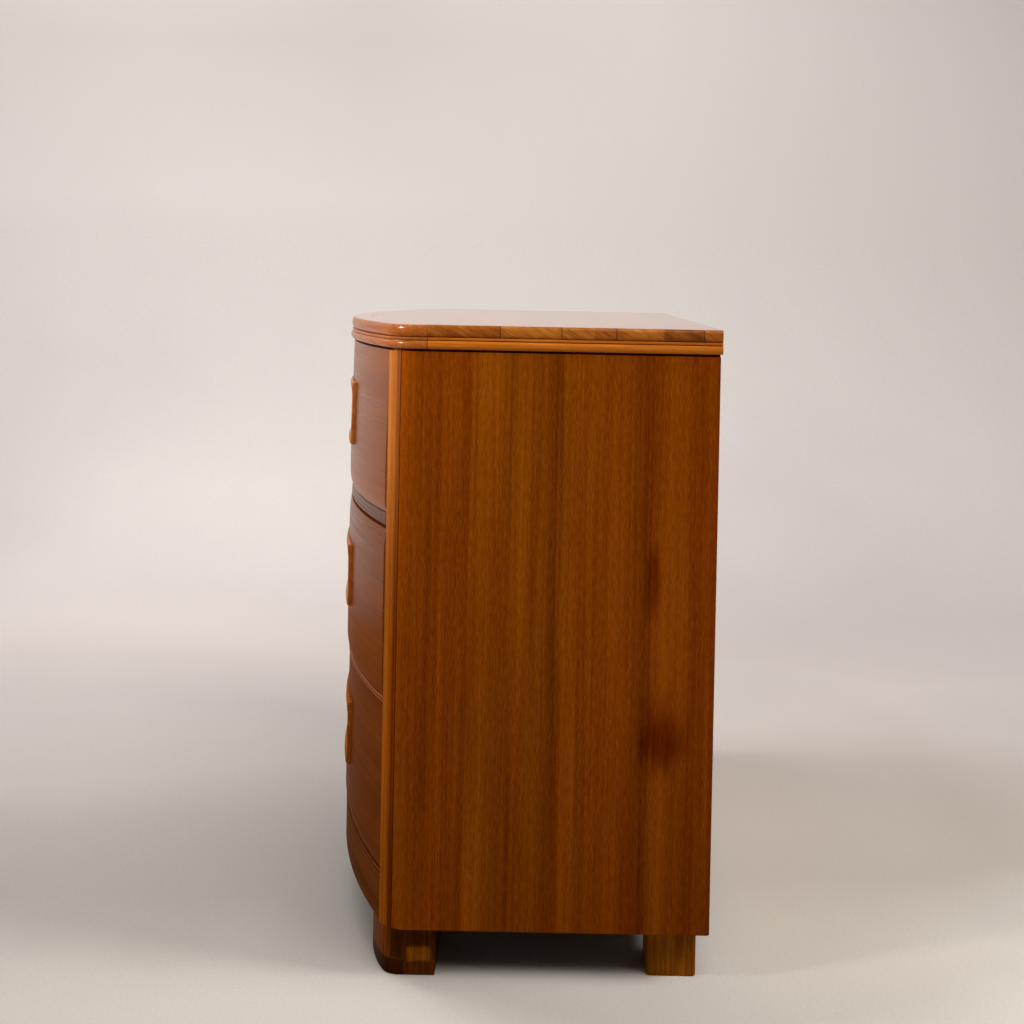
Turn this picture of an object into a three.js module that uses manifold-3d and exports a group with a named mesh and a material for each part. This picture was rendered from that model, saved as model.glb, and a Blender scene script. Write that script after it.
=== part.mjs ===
// Bow-front chest of three drawers: a veneered case with solid wood edges, on four block feet.
// Millimetres, +Z up, the front faces -Y. The case is drawn round the straight line that joins
// the two ends of the bow (y = 0), and the whole chest is then centred over the origin.
import * as THREE from 'three';
import { mergeVertices } from 'three/addons/utils/BufferGeometryUtils.js';
import Module from 'manifold-3d';

const wasm = await Module();
wasm.setup();

// Overall sizes
const chestHeight = 864;
const caseWidth = 914; // over the two side panels
const sideDepth = 426.5; // side panel, from the ends of the bow to the back edge
const bowRise = 110; // the middle of the front stands this far ahead of its ends
const cornerRadius = 44; // plan radius where the side turns into the front
const leastCornerRadius = 2; // for outlines set far in

// Clearances
const fitGap = 0.3; // glued or seated faces
const frontGap = 1.2; // round the drawer fronts
const slideGap = 0.5; // running clearance of the drawers
const cutOverrun = 40; // how far a cutting block passes what it cuts

// Front, from the floor up
const footHeight = 65;
const apronHeight = 57;
const bottomRailHeight = 10;
const lowerRailHeight = 9.4;
const middleTopGap = 4; // the middle drawer sits a little low in its opening
const upperRailHeight = 17.4;
const bottomFrontShare = 0.3328; // of the height that the three drawer fronts divide
const middleFrontShare = 0.3389;

// Top: a nosed slab over a fillet and bead
const slabThickness = 16.7;
const slabProjection = 3.2;
const slabNoseHeight = 7;
const slabNoseDepth = 4.2;
const slabEdgeWidth = 30;
const filletHeight = 3.2;
const filletProjection = 2.2;
const quirkHeight = 1;
const quirkProjection = 0.4;
const beadHeight = 11.2;
const beadProjection = 4.4;
const beadNoseDepth = 3.6;
const beadWidth = 56;
const shadowGap = 3.3; // dark line between the bead and the case
const shadowDepth = 6;
const topBackOverhang = 2.4;
const edgeJointY = 40; // butt joint between the bowed edge piece and the straight side piece

// Case boards
const sideThickness = 19;
const stileShare = 0.555; // part of the corner's turn that the solid stile takes, from its front edge
const railSetback = 1.4;
const railDepth = 50;
const railArris = 1.2;
const reedDepth = 0.9;
const reedCount = 3;
const apronSetback = 3.2;
const apronThickness = 19;
const frameThickness = 17;
const frameRunnerWidth = 60;
const frameBackWidth = 50;
const dustThickness = 5;
const trackWidth = 24;
const trackHeight = 9;
const backThickness = 5.4;
const backRabbetWidth = 9;
const backBottomRise = 3; // the back panel stops this far above the bottom of the sides

// Feet
const footSideInset = 11;
const footBackY = 64.5; // back face of a front foot
const footLength = 118; // front foot, along the front
const footCornerRadius = 27;
const footFrontRadius = 210;
const footInnerRadius = 10;
const footApexDrop = 29; // how far the front foot reaches ahead of the ends of the bow
const rearFootSideInset = 21.5;
const rearFootBackInset = 14.5;
const rearFootDepth = 66;
const rearFootWidth = 68;
const rearFootRadius = 5;
const footArris = 2;
const footBlockSize = 46;
const footBlockHeight = 48;
const footBlockFrontY = 18;

// Drawers
const faceProud = 1.6; // middle of the drawer face, ahead of the case outline
const faceTopDrop = 2.8;
const faceTopReach = 34;
const faceShares = [0, 0.33, 0.66, 1]; // where the fall of the face is divided
const faceBottomDrop = 3.4;
const faceBottomReach = 17;
const frontThickness = 20;
const boxSideThickness = 12;
const boxRearGap = 22.5; // from the back of the drawers to the back of the sides
const boxTopDrop = 22; // drawer sides stop this far below the top of the front
const boxBackDrop = 6; // the drawer back stops this far below the sides
const bottomRise = 14; // underside of the drawer bottom above the lower edge of the sides
const bottomThickness = 5;
const grooveDepth = 5; // for the edges of the drawer bottom, in the sides and the front
const tailCount = 6; // dovetails up the front end of each drawer side
const tailDepth = 13; // how far they reach into the drawer front
const tailNeckShare = 0.5; // of the space for one tail, where it leaves the side
const tailEndShare = 0.72; // and at its end
const guideWidth = 48;

// Pulls: a carved block let into the drawer front, with a straight front, a lip above and below
// and a hollow for the fingers
const pullCentreX = 147;
const pullLength = 206;
const pullRaise = 7.8; // above the middle of the drawer front
const topPullRaise = 3.4; // the same on the top drawer
const pullHeight = 91;
const pullEndRise = 7.9;
const pullMiddleRise = 4.9;
const pullSeatDepth = 7; // from the drawer face to the back of the pull
const pullFloor = 2; // wood left behind the hollow
const pullLip = 9; // from the edge of the pull to where the hollow starts
const pullSlope = 9.5; // height over which the hollow deepens
const pullEndHollowShare = 0.1; // how far the hollow is open at the ends
const pullEndWall = 6; // from each end to where the hollow starts to open
const pullEndSlope = 22; // length over which it opens
const pullShoulderShare = 0.78;
const pullHeelShare = 0.3;
const pullTipRound = 1.6;
const pullTipLength = 3;
const pullHollowShares = [1, 0.66, 0.33]; // sections along each half of the open hollow

// How finely curves are divided
const bowSteps = 24;
const cornerSteps = 6;
const noseSteps = 3;
const weldDistance = 1e-4;

// Sizes that follow from those above
const halfWidth = caseWidth / 2;
const bowRadius = (halfWidth ** 2 + bowRise ** 2) / (2 * bowRise);
const bowCentreY = bowRadius - bowRise;
const backY = sideDepth + topBackOverhang;
const slabBottom = chestHeight - slabThickness;
const filletBottom = slabBottom - filletHeight;
const quirkBottom = filletBottom - quirkHeight;
const beadBottom = quirkBottom - beadHeight;
const caseTop = beadBottom - shadowGap;
const apronTop = footHeight + apronHeight;
const bottomRailTop = apronTop + bottomRailHeight;
const railsHeight = bottomRailHeight + lowerRailHeight + upperRailHeight;
const frontsHeight = caseTop - apronTop - railsHeight - middleTopGap - 4 * frontGap;
const bottomFrontHeight = frontsHeight * bottomFrontShare;
const middleFrontHeight = frontsHeight * middleFrontShare;
const lowerRailBottom = bottomRailTop + frontGap + bottomFrontHeight + frontGap;
const lowerRailTop = lowerRailBottom + lowerRailHeight;
const upperRailBottom = lowerRailTop + frontGap + middleFrontHeight + middleTopGap;
const upperRailTop = upperRailBottom + upperRailHeight;
const topFrontHeight = caseTop - upperRailTop - frontGap;
const innerX = halfWidth - sideThickness;
const rabbetY = sideDepth - backThickness - fitGap;
const corner = cornerAt(0);
const seamTurn = corner.turn * (1 - stileShare);
const stileFrontX = corner.x + cornerRadius * Math.cos(corner.turn);
const seamY = corner.y + cornerRadius * Math.sin(seamTurn);
const railEndX = stileFrontX - fitGap;
const boxBackY = sideDepth - boxRearGap;
const boxHalfWidth = stileFrontX - frontGap;
const boxInnerX = boxHalfWidth - boxSideThickness;
const faceBack = faceProud - frontThickness;
const boxFront = faceBack - fitGap;
const topRailProjection = faceBack - slideGap - fitGap;

// Plan of the case, as points

// Centre and turn of the rounded corner, for the outline moved out by projection.
function cornerAt(projection) {
  const radius = Math.max(cornerRadius + projection, leastCornerRadius);
  const x = halfWidth + projection - radius;
  const y = bowCentreY - Math.sqrt((bowRadius + projection - radius) ** 2 - x ** 2);
  return { x, y, radius, turn: Math.atan2(y - bowCentreY, x) };
}

function bowY(x, projection) {
  return bowCentreY - Math.sqrt((bowRadius + projection) ** 2 - x ** 2);
}

function arcPoints(centreX, centreY, radius, from, to, steps) {
  return Array.from({ length: steps + 1 }, (unused, step) => {
    const angle = from + ((to - from) * step) / steps;
    return new THREE.Vector2(centreX + radius * Math.cos(angle), centreY + radius * Math.sin(angle));
  });
}

// The bow between two x values, for the outline moved out by projection.
function bowPoints(fromX, toX, projection, steps) {
  const radius = bowRadius + projection;
  const from = -Math.PI / 2 + Math.asin(fromX / radius);
  const to = -Math.PI / 2 + Math.asin(toX / radius);
  return arcPoints(0, bowCentreY, radius, from, to, steps);
}

// The whole outline of the chest, seen from above, moved out by projection.
function planOutline(projection, rearY) {
  const { x, y, radius, turn } = cornerAt(projection);
  const side = halfWidth + projection;
  return new THREE.Shape([
    new THREE.Vector2(side, rearY),
    new THREE.Vector2(-side, rearY),
    ...arcPoints(-x, y, radius, Math.PI, Math.PI - turn, cornerSteps),
    ...arcPoints(0, bowCentreY, bowRadius + projection, -Math.PI - turn, turn, bowSteps).slice(1, -1),
    ...arcPoints(x, y, radius, turn, 0, cornerSteps),
  ]);
}

// Solids

function toSolid(geometry) {
  const bare = geometry.clone();
  bare.deleteAttribute('normal');
  bare.deleteAttribute('uv');
  const welded = mergeVertices(bare, weldDistance);
  return new wasm.Manifold(new wasm.Mesh({
    numProp: 3,
    vertProperties: Float32Array.from(welded.attributes.position.array),
    triVerts: Uint32Array.from(welded.index.array),
  }));
}

function toGeometry(solid) {
  const mesh = solid.getMesh();
  const geometry = new THREE.BufferGeometry();
  geometry.setAttribute('position', new THREE.BufferAttribute(Float32Array.from(mesh.vertProperties), 3));
  geometry.setIndex(new THREE.BufferAttribute(Uint32Array.from(mesh.triVerts), 1));
  geometry.computeVertexNormals();
  return geometry;
}

// A board cut to a plan shape, between two heights.
function board(shape, bottom, top) {
  const geometry = new THREE.ExtrudeGeometry(shape, { depth: top - bottom, bevelEnabled: false });
  return geometry.translate(0, 0, bottom);
}

// The same with a rounded edge all round, of which the shape is the outermost line.
function nosedBoard(shape, bottom, top, noseHeight, noseDepth, steps) {
  const geometry = new THREE.ExtrudeGeometry(shape, {
    depth: top - bottom - 2 * noseHeight,
    bevelThickness: noseHeight,
    bevelSize: noseDepth,
    bevelOffset: -noseDepth,
    bevelSegments: steps,
  });
  return geometry.translate(0, 0, bottom + noseHeight);
}

function block(fromX, toX, fromY, toY, bottom, top) {
  const geometry = new THREE.BoxGeometry(toX - fromX, toY - fromY, top - bottom);
  return geometry.translate((fromX + toX) / 2, (fromY + toY) / 2, (bottom + top) / 2);
}

class BowCurve extends THREE.Curve {
  constructor(halfAngle) {
    super();
    this.halfAngle = halfAngle;
  }

  getPoint(t, target = new THREE.Vector3()) {
    const angle = -Math.PI / 2 + this.halfAngle * (2 * t - 1);
    return target.set(bowRadius * Math.cos(angle), bowCentreY + bowRadius * Math.sin(angle), 0);
  }
}

// A moulding run along the bow. Its section is given as [projection, height] pairs, and it is
// sawn off square to the front at plus and minus endX.
function bowedMoulding(section, endX) {
  const reach = Math.max(...section.map(([projection]) => Math.abs(projection)));
  const halfAngle = Math.asin((endX + cutOverrun) / (bowRadius - reach));
  const outline = section.map(([projection, height]) => new THREE.Vector2(-height, -projection));
  const run = new THREE.ExtrudeGeometry(new THREE.Shape(outline), {
    steps: bowSteps,
    extrudePath: new BowCurve(halfAngle),
    bevelEnabled: false,
  });
  const heights = section.map(([, height]) => height);
  const saw = block(
    -endX, endX, -bowRise - cutOverrun - reach, sideDepth,
    Math.min(...heights) - cutOverrun, Math.max(...heights) + cutOverrun,
  );
  return toGeometry(toSolid(run).intersect(toSolid(saw)));
}

// A closed skin over a row of rings that all have the same number of points. Each end ring is
// convex and is closed by a fan about its middle.
function loft(rings) {
  const count = rings[0].length;
  const points = rings.flat();
  const index = [];
  for (let ring = 0; ring < rings.length - 1; ring += 1) {
    for (let point = 0; point < count; point += 1) {
      const here = ring * count + point;
      const next = ring * count + ((point + 1) % count);
      index.push(here, next + count, next, here, here + count, next + count);
    }
  }
  const last = (rings.length - 1) * count;
  for (const ring of [rings[0], rings.at(-1)]) {
    const middle = ring.reduce((sum, point) => sum.add(point), new THREE.Vector3()).divideScalar(count);
    points.push(middle);
  }
  for (let point = 0; point < count; point += 1) {
    const next = (point + 1) % count;
    index.push(points.length - 2, point, next, points.length - 1, last + next, last + point);
  }
  const geometry = new THREE.BufferGeometry().setFromPoints(points);
  geometry.setIndex(index);
  geometry.computeVertexNormals();
  return geometry;
}

// Materials

function finish(color, roughness) {
  return new THREE.MeshStandardMaterial({ color, roughness, metalness: 0 });
}

const sideVeneer = finish('#7a3a10', 0.35);
const frontVeneer = finish('#7d3c1c', 0.35);
const solidEdge = finish('#b5692a', 0.35);
const railWood = finish('#8a5226', 0.4);
const footWood = finish('#7a4315', 0.4);
const boxWood = finish('#c39a66', 0.6);
const plywood = finish('#b48a5a', 0.7);

const chest = new THREE.Group();

function add(parent, name, geometry, material) {
  const mesh = new THREE.Mesh(geometry, material);
  mesh.name = name;
  parent.add(mesh);
  return mesh;
}

// The left-hand twin, with each triangle turned back to face outwards.
function mirrorX(geometry) {
  const twin = toGeometry(toSolid(geometry)).scale(-1, 1, 1);
  twin.setIndex([...twin.index.array].reverse());
  twin.computeVertexNormals();
  return twin;
}

function addPair(parent, name, rightGeometry, material) {
  add(parent, `${name}_right`, rightGeometry, material);
  add(parent, `${name}_left`, mirrorX(rightGeometry), material);
}

// Top: core panel, then an edge ring and a bead ring, each of one bowed and two straight pieces,
// and a plain rail that closes the bead ring at the back.
function splitRing(name, ring) {
  const half = halfWidth + cutOverrun;
  const top = chestHeight + cutOverrun;
  const frontPart = toSolid(block(-half, half, -bowRise - cutOverrun, edgeJointY, 0, top));
  const sidePart = toSolid(block(0, half, edgeJointY + fitGap, backY, 0, top));
  add(chest, `${name}_front`, toGeometry(ring.intersect(frontPart)), solidEdge);
  addPair(chest, name, toGeometry(ring.intersect(sidePart)), solidEdge);
}

function addTop() {
  const openY = backY + cutOverrun;
  const innerProjection = slabProjection - slabEdgeWidth;
  const core = board(planOutline(innerProjection - fitGap, backY), slabBottom, chestHeight);
  add(chest, 'top_panel', core, sideVeneer);

  const slab = toSolid(nosedBoard(
    planOutline(slabProjection, openY), slabBottom, chestHeight, slabNoseHeight, slabNoseDepth, noseSteps,
  ));
  const slabHole = board(planOutline(innerProjection, openY + cutOverrun), 0, chestHeight + cutOverrun);
  splitRing('top_edge', slab.subtract(toSolid(slabHole)));

  const bead = toSolid(nosedBoard(
    planOutline(beadProjection, openY), beadBottom, quirkBottom, beadHeight / 2, beadNoseDepth, noseSteps,
  ));
  const quirk = toSolid(board(
    planOutline(quirkProjection, openY), quirkBottom - beadHeight / 2, filletBottom + filletHeight / 2,
  ));
  const fillet = toSolid(board(planOutline(filletProjection, openY), filletBottom, slabBottom));
  const beadInside = planOutline(beadProjection - beadWidth, openY + cutOverrun);
  const beadHole = toSolid(board(beadInside, 0, chestHeight + cutOverrun));
  splitRing('top_bead', bead.add(quirk).add(fillet).subtract(beadHole));

  const railX = halfWidth + beadProjection - beadWidth - fitGap;
  const rear = block(-railX, railX, sideDepth - beadWidth, sideDepth, beadBottom, slabBottom);
  add(chest, 'top_back_rail', rear, boxWood);
}

// Case sides. The upper edge steps in behind the bead, which leaves the dark line under it.
function steppedTop(geometry) {
  const around = planOutline(cutOverrun, sideDepth + cutOverrun);
  const outside = toSolid(board(around, caseTop, beadBottom + cutOverrun));
  const within = planOutline(-shadowDepth, sideDepth + 2 * cutOverrun);
  const kept = toSolid(board(within, 0, chestHeight + cutOverrun));
  return toGeometry(toSolid(geometry).subtract(outside.subtract(kept)));
}

function addSides() {
  const startY = seamY + fitGap;
  const startTurn = Math.asin((startY - corner.y) / cornerRadius);
  const panel = new THREE.Shape([
    new THREE.Vector2(innerX, startY),
    ...arcPoints(corner.x, corner.y, cornerRadius, startTurn, 0, cornerSteps),
    new THREE.Vector2(halfWidth, sideDepth),
    new THREE.Vector2(innerX + backRabbetWidth, sideDepth),
    new THREE.Vector2(innerX + backRabbetWidth, rabbetY),
    new THREE.Vector2(innerX, rabbetY),
  ]);
  addPair(chest, 'side_panel', steppedTop(board(panel, footHeight, beadBottom)), sideVeneer);

  const stile = new THREE.Shape([
    ...arcPoints(corner.x, corner.y, cornerRadius, corner.turn, seamTurn, cornerSteps),
    new THREE.Vector2(stileFrontX, seamY),
  ]);
  addPair(chest, 'corner_stile', steppedTop(board(stile, footHeight, beadBottom)), solidEdge);

  const rearX = innerX + backRabbetWidth - fitGap;
  const rearBottom = footHeight + backBottomRise;
  const rear = block(-rearX, rearX, rabbetY + fitGap, sideDepth, rearBottom, beadBottom - fitGap);
  add(chest, 'back_panel', rear, plywood);
}

// Rails across the front, with the frames, dust panels and drawer tracks behind them
function railSection(bottom, top) {
  const face = -railSetback;
  const back = face - railDepth;
  return [
    [back, bottom],
    [face - railArris, bottom],
    [face, bottom + railArris],
    [face, top - railArris],
    [face - railArris, top],
    [back, top],
  ];
}

// The wide rail is hollowed between fine reeds, and its lower edge stands furthest out.
function reededSection(bottom, top) {
  const face = -railSetback;
  const back = face - railDepth;
  const pitch = (top - bottom - 2 * railArris) / reedCount;
  const section = [[back, bottom], [face - railArris, bottom]];
  for (let reed = 0; reed < reedCount; reed += 1) {
    const low = bottom + railArris + reed * pitch;
    const lean = (reed / reedCount) * reedDepth;
    section.push([face - lean, low], [face - lean, low + pitch - reedDepth]);
    section.push([face - lean - reedDepth, low + pitch - reedDepth / 2]);
  }
  section.push([face - railArris - reedDepth, top], [back, top]);
  return section;
}

// Two runners and a back member, open towards the front rail that closes the frame.
function addFrame(name, railBack, top) {
  const outer = innerX - fitGap;
  const inner = innerX - frameRunnerWidth;
  const frontEnd = railBack - fitGap;
  const rear = rabbetY;
  const legSteps = 2;
  const shape = new THREE.Shape([
    ...bowPoints(inner, outer, frontEnd, legSteps),
    new THREE.Vector2(outer, rear),
    new THREE.Vector2(-outer, rear),
    ...bowPoints(-outer, -inner, frontEnd, legSteps),
    new THREE.Vector2(-inner, rear - frameBackWidth),
    new THREE.Vector2(inner, rear - frameBackWidth),
  ]);
  add(chest, name, board(shape, top - frameThickness, top), boxWood);
}

function addDustPanel(name, middle) {
  const edge = innerX - frameRunnerWidth - fitGap;
  const shape = new THREE.Shape([
    ...bowPoints(-edge, edge, -railSetback - railDepth - fitGap, bowSteps),
    new THREE.Vector2(edge, rabbetY - frameBackWidth - fitGap),
    new THREE.Vector2(-edge, rabbetY - frameBackWidth - fitGap),
  ]);
  add(chest, name, board(shape, middle - dustThickness / 2, middle + dustThickness / 2), plywood);
}

function addTrack(name, top) {
  const frontY = bowY(0, -railSetback - railDepth / 2);
  const track = block(-trackWidth / 2, trackWidth / 2, frontY, rabbetY, top, top + trackHeight);
  add(chest, name, track, boxWood);
}

function addRails() {
  const topRail = [
    [topRailProjection - railDepth, beadBottom - frameThickness],
    [topRailProjection, beadBottom - frameThickness],
    [topRailProjection, beadBottom],
    [topRailProjection - railDepth, beadBottom],
  ];
  add(chest, 'top_front_rail', bowedMoulding(topRail, railEndX), boxWood);
  addFrame('top_frame', topRailProjection - railDepth, beadBottom);

  const levels = [
    { name: 'upper', section: reededSection, bottom: upperRailBottom, top: upperRailTop },
    { name: 'lower', section: railSection, bottom: lowerRailBottom, top: lowerRailTop },
    { name: 'bottom', section: railSection, bottom: apronTop, top: bottomRailTop },
  ];
  for (const { name, section, bottom, top } of levels) {
    add(chest, `front_rail_${name}`, bowedMoulding(section(bottom, top), railEndX), railWood);
    addFrame(`web_frame_${name}`, -railSetback - railDepth, top);
    addDustPanel(`dust_panel_${name}`, (bottom + top) / 2);
    addTrack(`drawer_track_${name}`, top);
  }

  const face = -apronSetback;
  const apron = [
    [face - apronThickness, footHeight],
    [face - railArris, footHeight],
    [face, footHeight + railArris],
    [face, apronTop],
    [face - apronThickness, apronTop],
  ];
  add(chest, 'apron', bowedMoulding(apron, railEndX), frontVeneer);
}

// Feet, with the glue block that ties each one to its corner of the case
function frontFootShape() {
  const outer = halfWidth - footSideInset;
  const inner = outer - footLength;
  const apexX = inner + footInnerRadius;
  const arcCentreY = footFrontRadius - footApexDrop;
  const filletX = outer - footCornerRadius;
  const reach = footFrontRadius - footCornerRadius;
  const filletY = arcCentreY - Math.sqrt(reach ** 2 - (filletX - apexX) ** 2);
  const turn = Math.atan2(filletY - arcCentreY, filletX - apexX);
  return new THREE.Shape([
    new THREE.Vector2(outer, footBackY),
    new THREE.Vector2(inner, footBackY),
    ...arcPoints(apexX, footInnerRadius - footApexDrop, footInnerRadius, Math.PI, 1.5 * Math.PI, noseSteps),
    ...arcPoints(apexX, arcCentreY, footFrontRadius, -Math.PI / 2, turn, cornerSteps).slice(1),
    ...arcPoints(filletX, filletY, footCornerRadius, turn, 0, cornerSteps).slice(1),
  ]);
}

function rearFootShape() {
  const outer = halfWidth - rearFootSideInset;
  const inner = outer - rearFootWidth;
  const rear = sideDepth - rearFootBackInset;
  const front = rear - rearFootDepth;
  const r = rearFootRadius;
  return new THREE.Shape([
    ...arcPoints(outer - r, rear - r, r, 0, Math.PI / 2, noseSteps),
    ...arcPoints(inner + r, rear - r, r, Math.PI / 2, Math.PI, noseSteps),
    ...arcPoints(inner + r, front + r, r, Math.PI, 1.5 * Math.PI, noseSteps),
    ...arcPoints(outer - r, front + r, r, 1.5 * Math.PI, 2 * Math.PI, noseSteps),
  ]);
}

function addFeet() {
  const foot = (shape) => nosedBoard(shape, 0, footHeight, footArris, footArris, 1);
  addPair(chest, 'front_foot', foot(frontFootShape()), footWood);
  addPair(chest, 'rear_foot', foot(rearFootShape()), footWood);

  const outer = innerX - fitGap;
  const inner = outer - footBlockSize;
  const top = footHeight + footBlockHeight;
  const places = { front: footBlockFrontY, rear: rabbetY - footBlockSize };
  for (const [end, startY] of Object.entries(places)) {
    const glueBlock = block(inner, outer, startY, startY + footBlockSize, footHeight, top);
    addPair(chest, `${end}_foot_block`, glueBlock, boxWood);
  }
}

// Section through a pull, [rise, height] pairs from the lower back edge round the front.
// hollow is the share by which the finger hollow is open, 1 in the middle of the pull.
function pullSection(halfHeight, rise, hollow) {
  const mouth = halfHeight - pullLip;
  const foot = mouth - pullSlope;
  const floor = rise - (rise + pullSeatDepth - pullFloor) * hollow;
  const upper = [
    [floor, foot / 2],
    [floor, foot],
    [(floor + rise) / 2, (foot + mouth) / 2],
    [rise, mouth],
    [rise, halfHeight - 2 * pullTipRound],
    [rise * pullShoulderShare, halfHeight - pullTipRound / 2],
    [rise * pullHeelShare, halfHeight],
    [-pullSeatDepth, halfHeight],
  ];
  const lower = upper.map(([out, height]) => [out, -height]).reverse();
  return [...lower, ...upper];
}

// The housing takes the buried part of the pull, with the same corners cut off its ends.
function housingSection(halfHeight) {
  const floor = -pullSeatDepth - fitGap;
  const edge = halfHeight + fitGap;
  return [[floor, -edge], [cutOverrun, -edge], [cutOverrun, edge], [floor, edge]];
}

// Lofts a section along the pull, with its back along the bow of the drawer face.
function alongPull(end, sectionAt) {
  const half = pullLength / 2;
  const wallEnd = half - pullEndWall;
  const hollowEnd = wallEnd - pullEndSlope;
  const hollowPlaces = pullHollowShares.map((share) => hollowEnd * share);
  const stations = [end, half - pullTipLength, wallEnd, ...hollowPlaces];
  const places = [...stations.map((place) => -place), 0, ...stations.slice().reverse()];
  const faceRadius = bowRadius + faceProud;
  const rings = places.map((place) => {
    const tip = Math.abs(place) === end ? pullTipRound : 0;
    const face = faceRadius - Math.sqrt(faceRadius ** 2 - place ** 2);
    const section = sectionAt(place, pullHeight / 2 - tip, tip);
    return section.map(([out, height]) => new THREE.Vector3(place, face - out, height));
  });
  return loft(rings);
}

function pullGeometry() {
  const half = pullLength / 2;
  return alongPull(half, (place, halfHeight, tip) => {
    const share = 1 - (place / half) ** 2;
    const rise = pullEndRise + (pullMiddleRise - pullEndRise) * share - tip;
    const hollow = Math.abs(place) >= half - pullEndWall ? pullEndHollowShare : 1;
    return pullSection(halfHeight, rise, hollow);
  });
}

// Where a pull stands, square to the bow.
function pullPlace(side, middle) {
  const radius = bowRadius + faceProud;
  const angle = Math.asin(pullCentreX / radius) * side;
  const seat = new THREE.Vector3(radius * Math.sin(angle), bowCentreY - radius * Math.cos(angle), middle);
  return { angle, seat };
}

function pullHousing(side, middle) {
  const { angle, seat } = pullPlace(side, middle);
  const cutter = alongPull(pullLength / 2 + fitGap, (place, halfHeight) => housingSection(halfHeight));
  return toSolid(cutter.rotateZ(angle).translate(seat.x, seat.y, seat.z));
}

function addPull(drawer, name, side, middle) {
  const { angle, seat } = pullPlace(side, middle);
  const pull = add(drawer, name, pullGeometry(), solidEdge);
  pull.position.copy(seat);
  pull.rotation.z = angle;
}

// Drawers
function faceSection(bottom, top) {
  const lower = faceShares.map((share) => [
    faceProud - faceBottomDrop * share ** 2,
    bottom + faceBottomReach * (1 - share),
  ]);
  const upper = faceShares.map((share) => [
    faceProud - faceTopDrop * share ** 2,
    top - faceTopReach * (1 - share),
  ]);
  return [[faceBack, bottom], ...lower.reverse(), ...upper, [faceBack, top]];
}

// The dovetails of a right-hand drawer side, each a wedge that widens towards the drawer front.
function dovetails(bottom, top, gap) {
  const pitch = (top - bottom) / tailCount;
  const neck = (pitch * tailNeckShare) / 2 + gap;
  const end = (pitch * tailEndShare) / 2 + gap;
  const neckY = bowY(boxHalfWidth, boxFront);
  const endY = bowY(boxInnerX, faceBack + tailDepth);
  const wedges = Array.from({ length: tailCount }, (unused, tail) => {
    const middle = bottom + pitch * tail + pitch / 2;
    const wedge = new THREE.Shape([
      new THREE.Vector2(endY, middle - end),
      new THREE.Vector2(neckY, middle - neck),
      new THREE.Vector2(neckY, middle + neck),
      new THREE.Vector2(endY, middle + end),
    ]);
    const length = boxSideThickness + 2 * cutOverrun;
    const run = new THREE.ExtrudeGeometry(wedge, { depth: length, bevelEnabled: false });
    run.rotateX(Math.PI / 2).rotateZ(Math.PI / 2);
    return toSolid(run.translate(boxInnerX - cutOverrun, 0, 0));
  });
  return wedges.reduce((joined, wedge) => joined.add(wedge));
}

// Plan of a right-hand drawer side that runs forward to the given projection.
function sidePlan(inner, outer, projection) {
  return new THREE.Shape([
    new THREE.Vector2(inner, bowY(inner, projection)),
    new THREE.Vector2(boxHalfWidth, bowY(boxHalfWidth, projection)),
    new THREE.Vector2(outer, bowY(boxHalfWidth, projection)),
    new THREE.Vector2(outer, boxBackY),
    new THREE.Vector2(inner, boxBackY),
  ]);
}

// Plan of the drawer bottom between the grooves of the sides.
function bottomPlan(edge, projection) {
  return new THREE.Shape([
    ...bowPoints(-edge, edge, projection, bowSteps),
    new THREE.Vector2(edge, boxBackY),
    new THREE.Vector2(-edge, boxBackY),
  ]);
}

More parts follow.
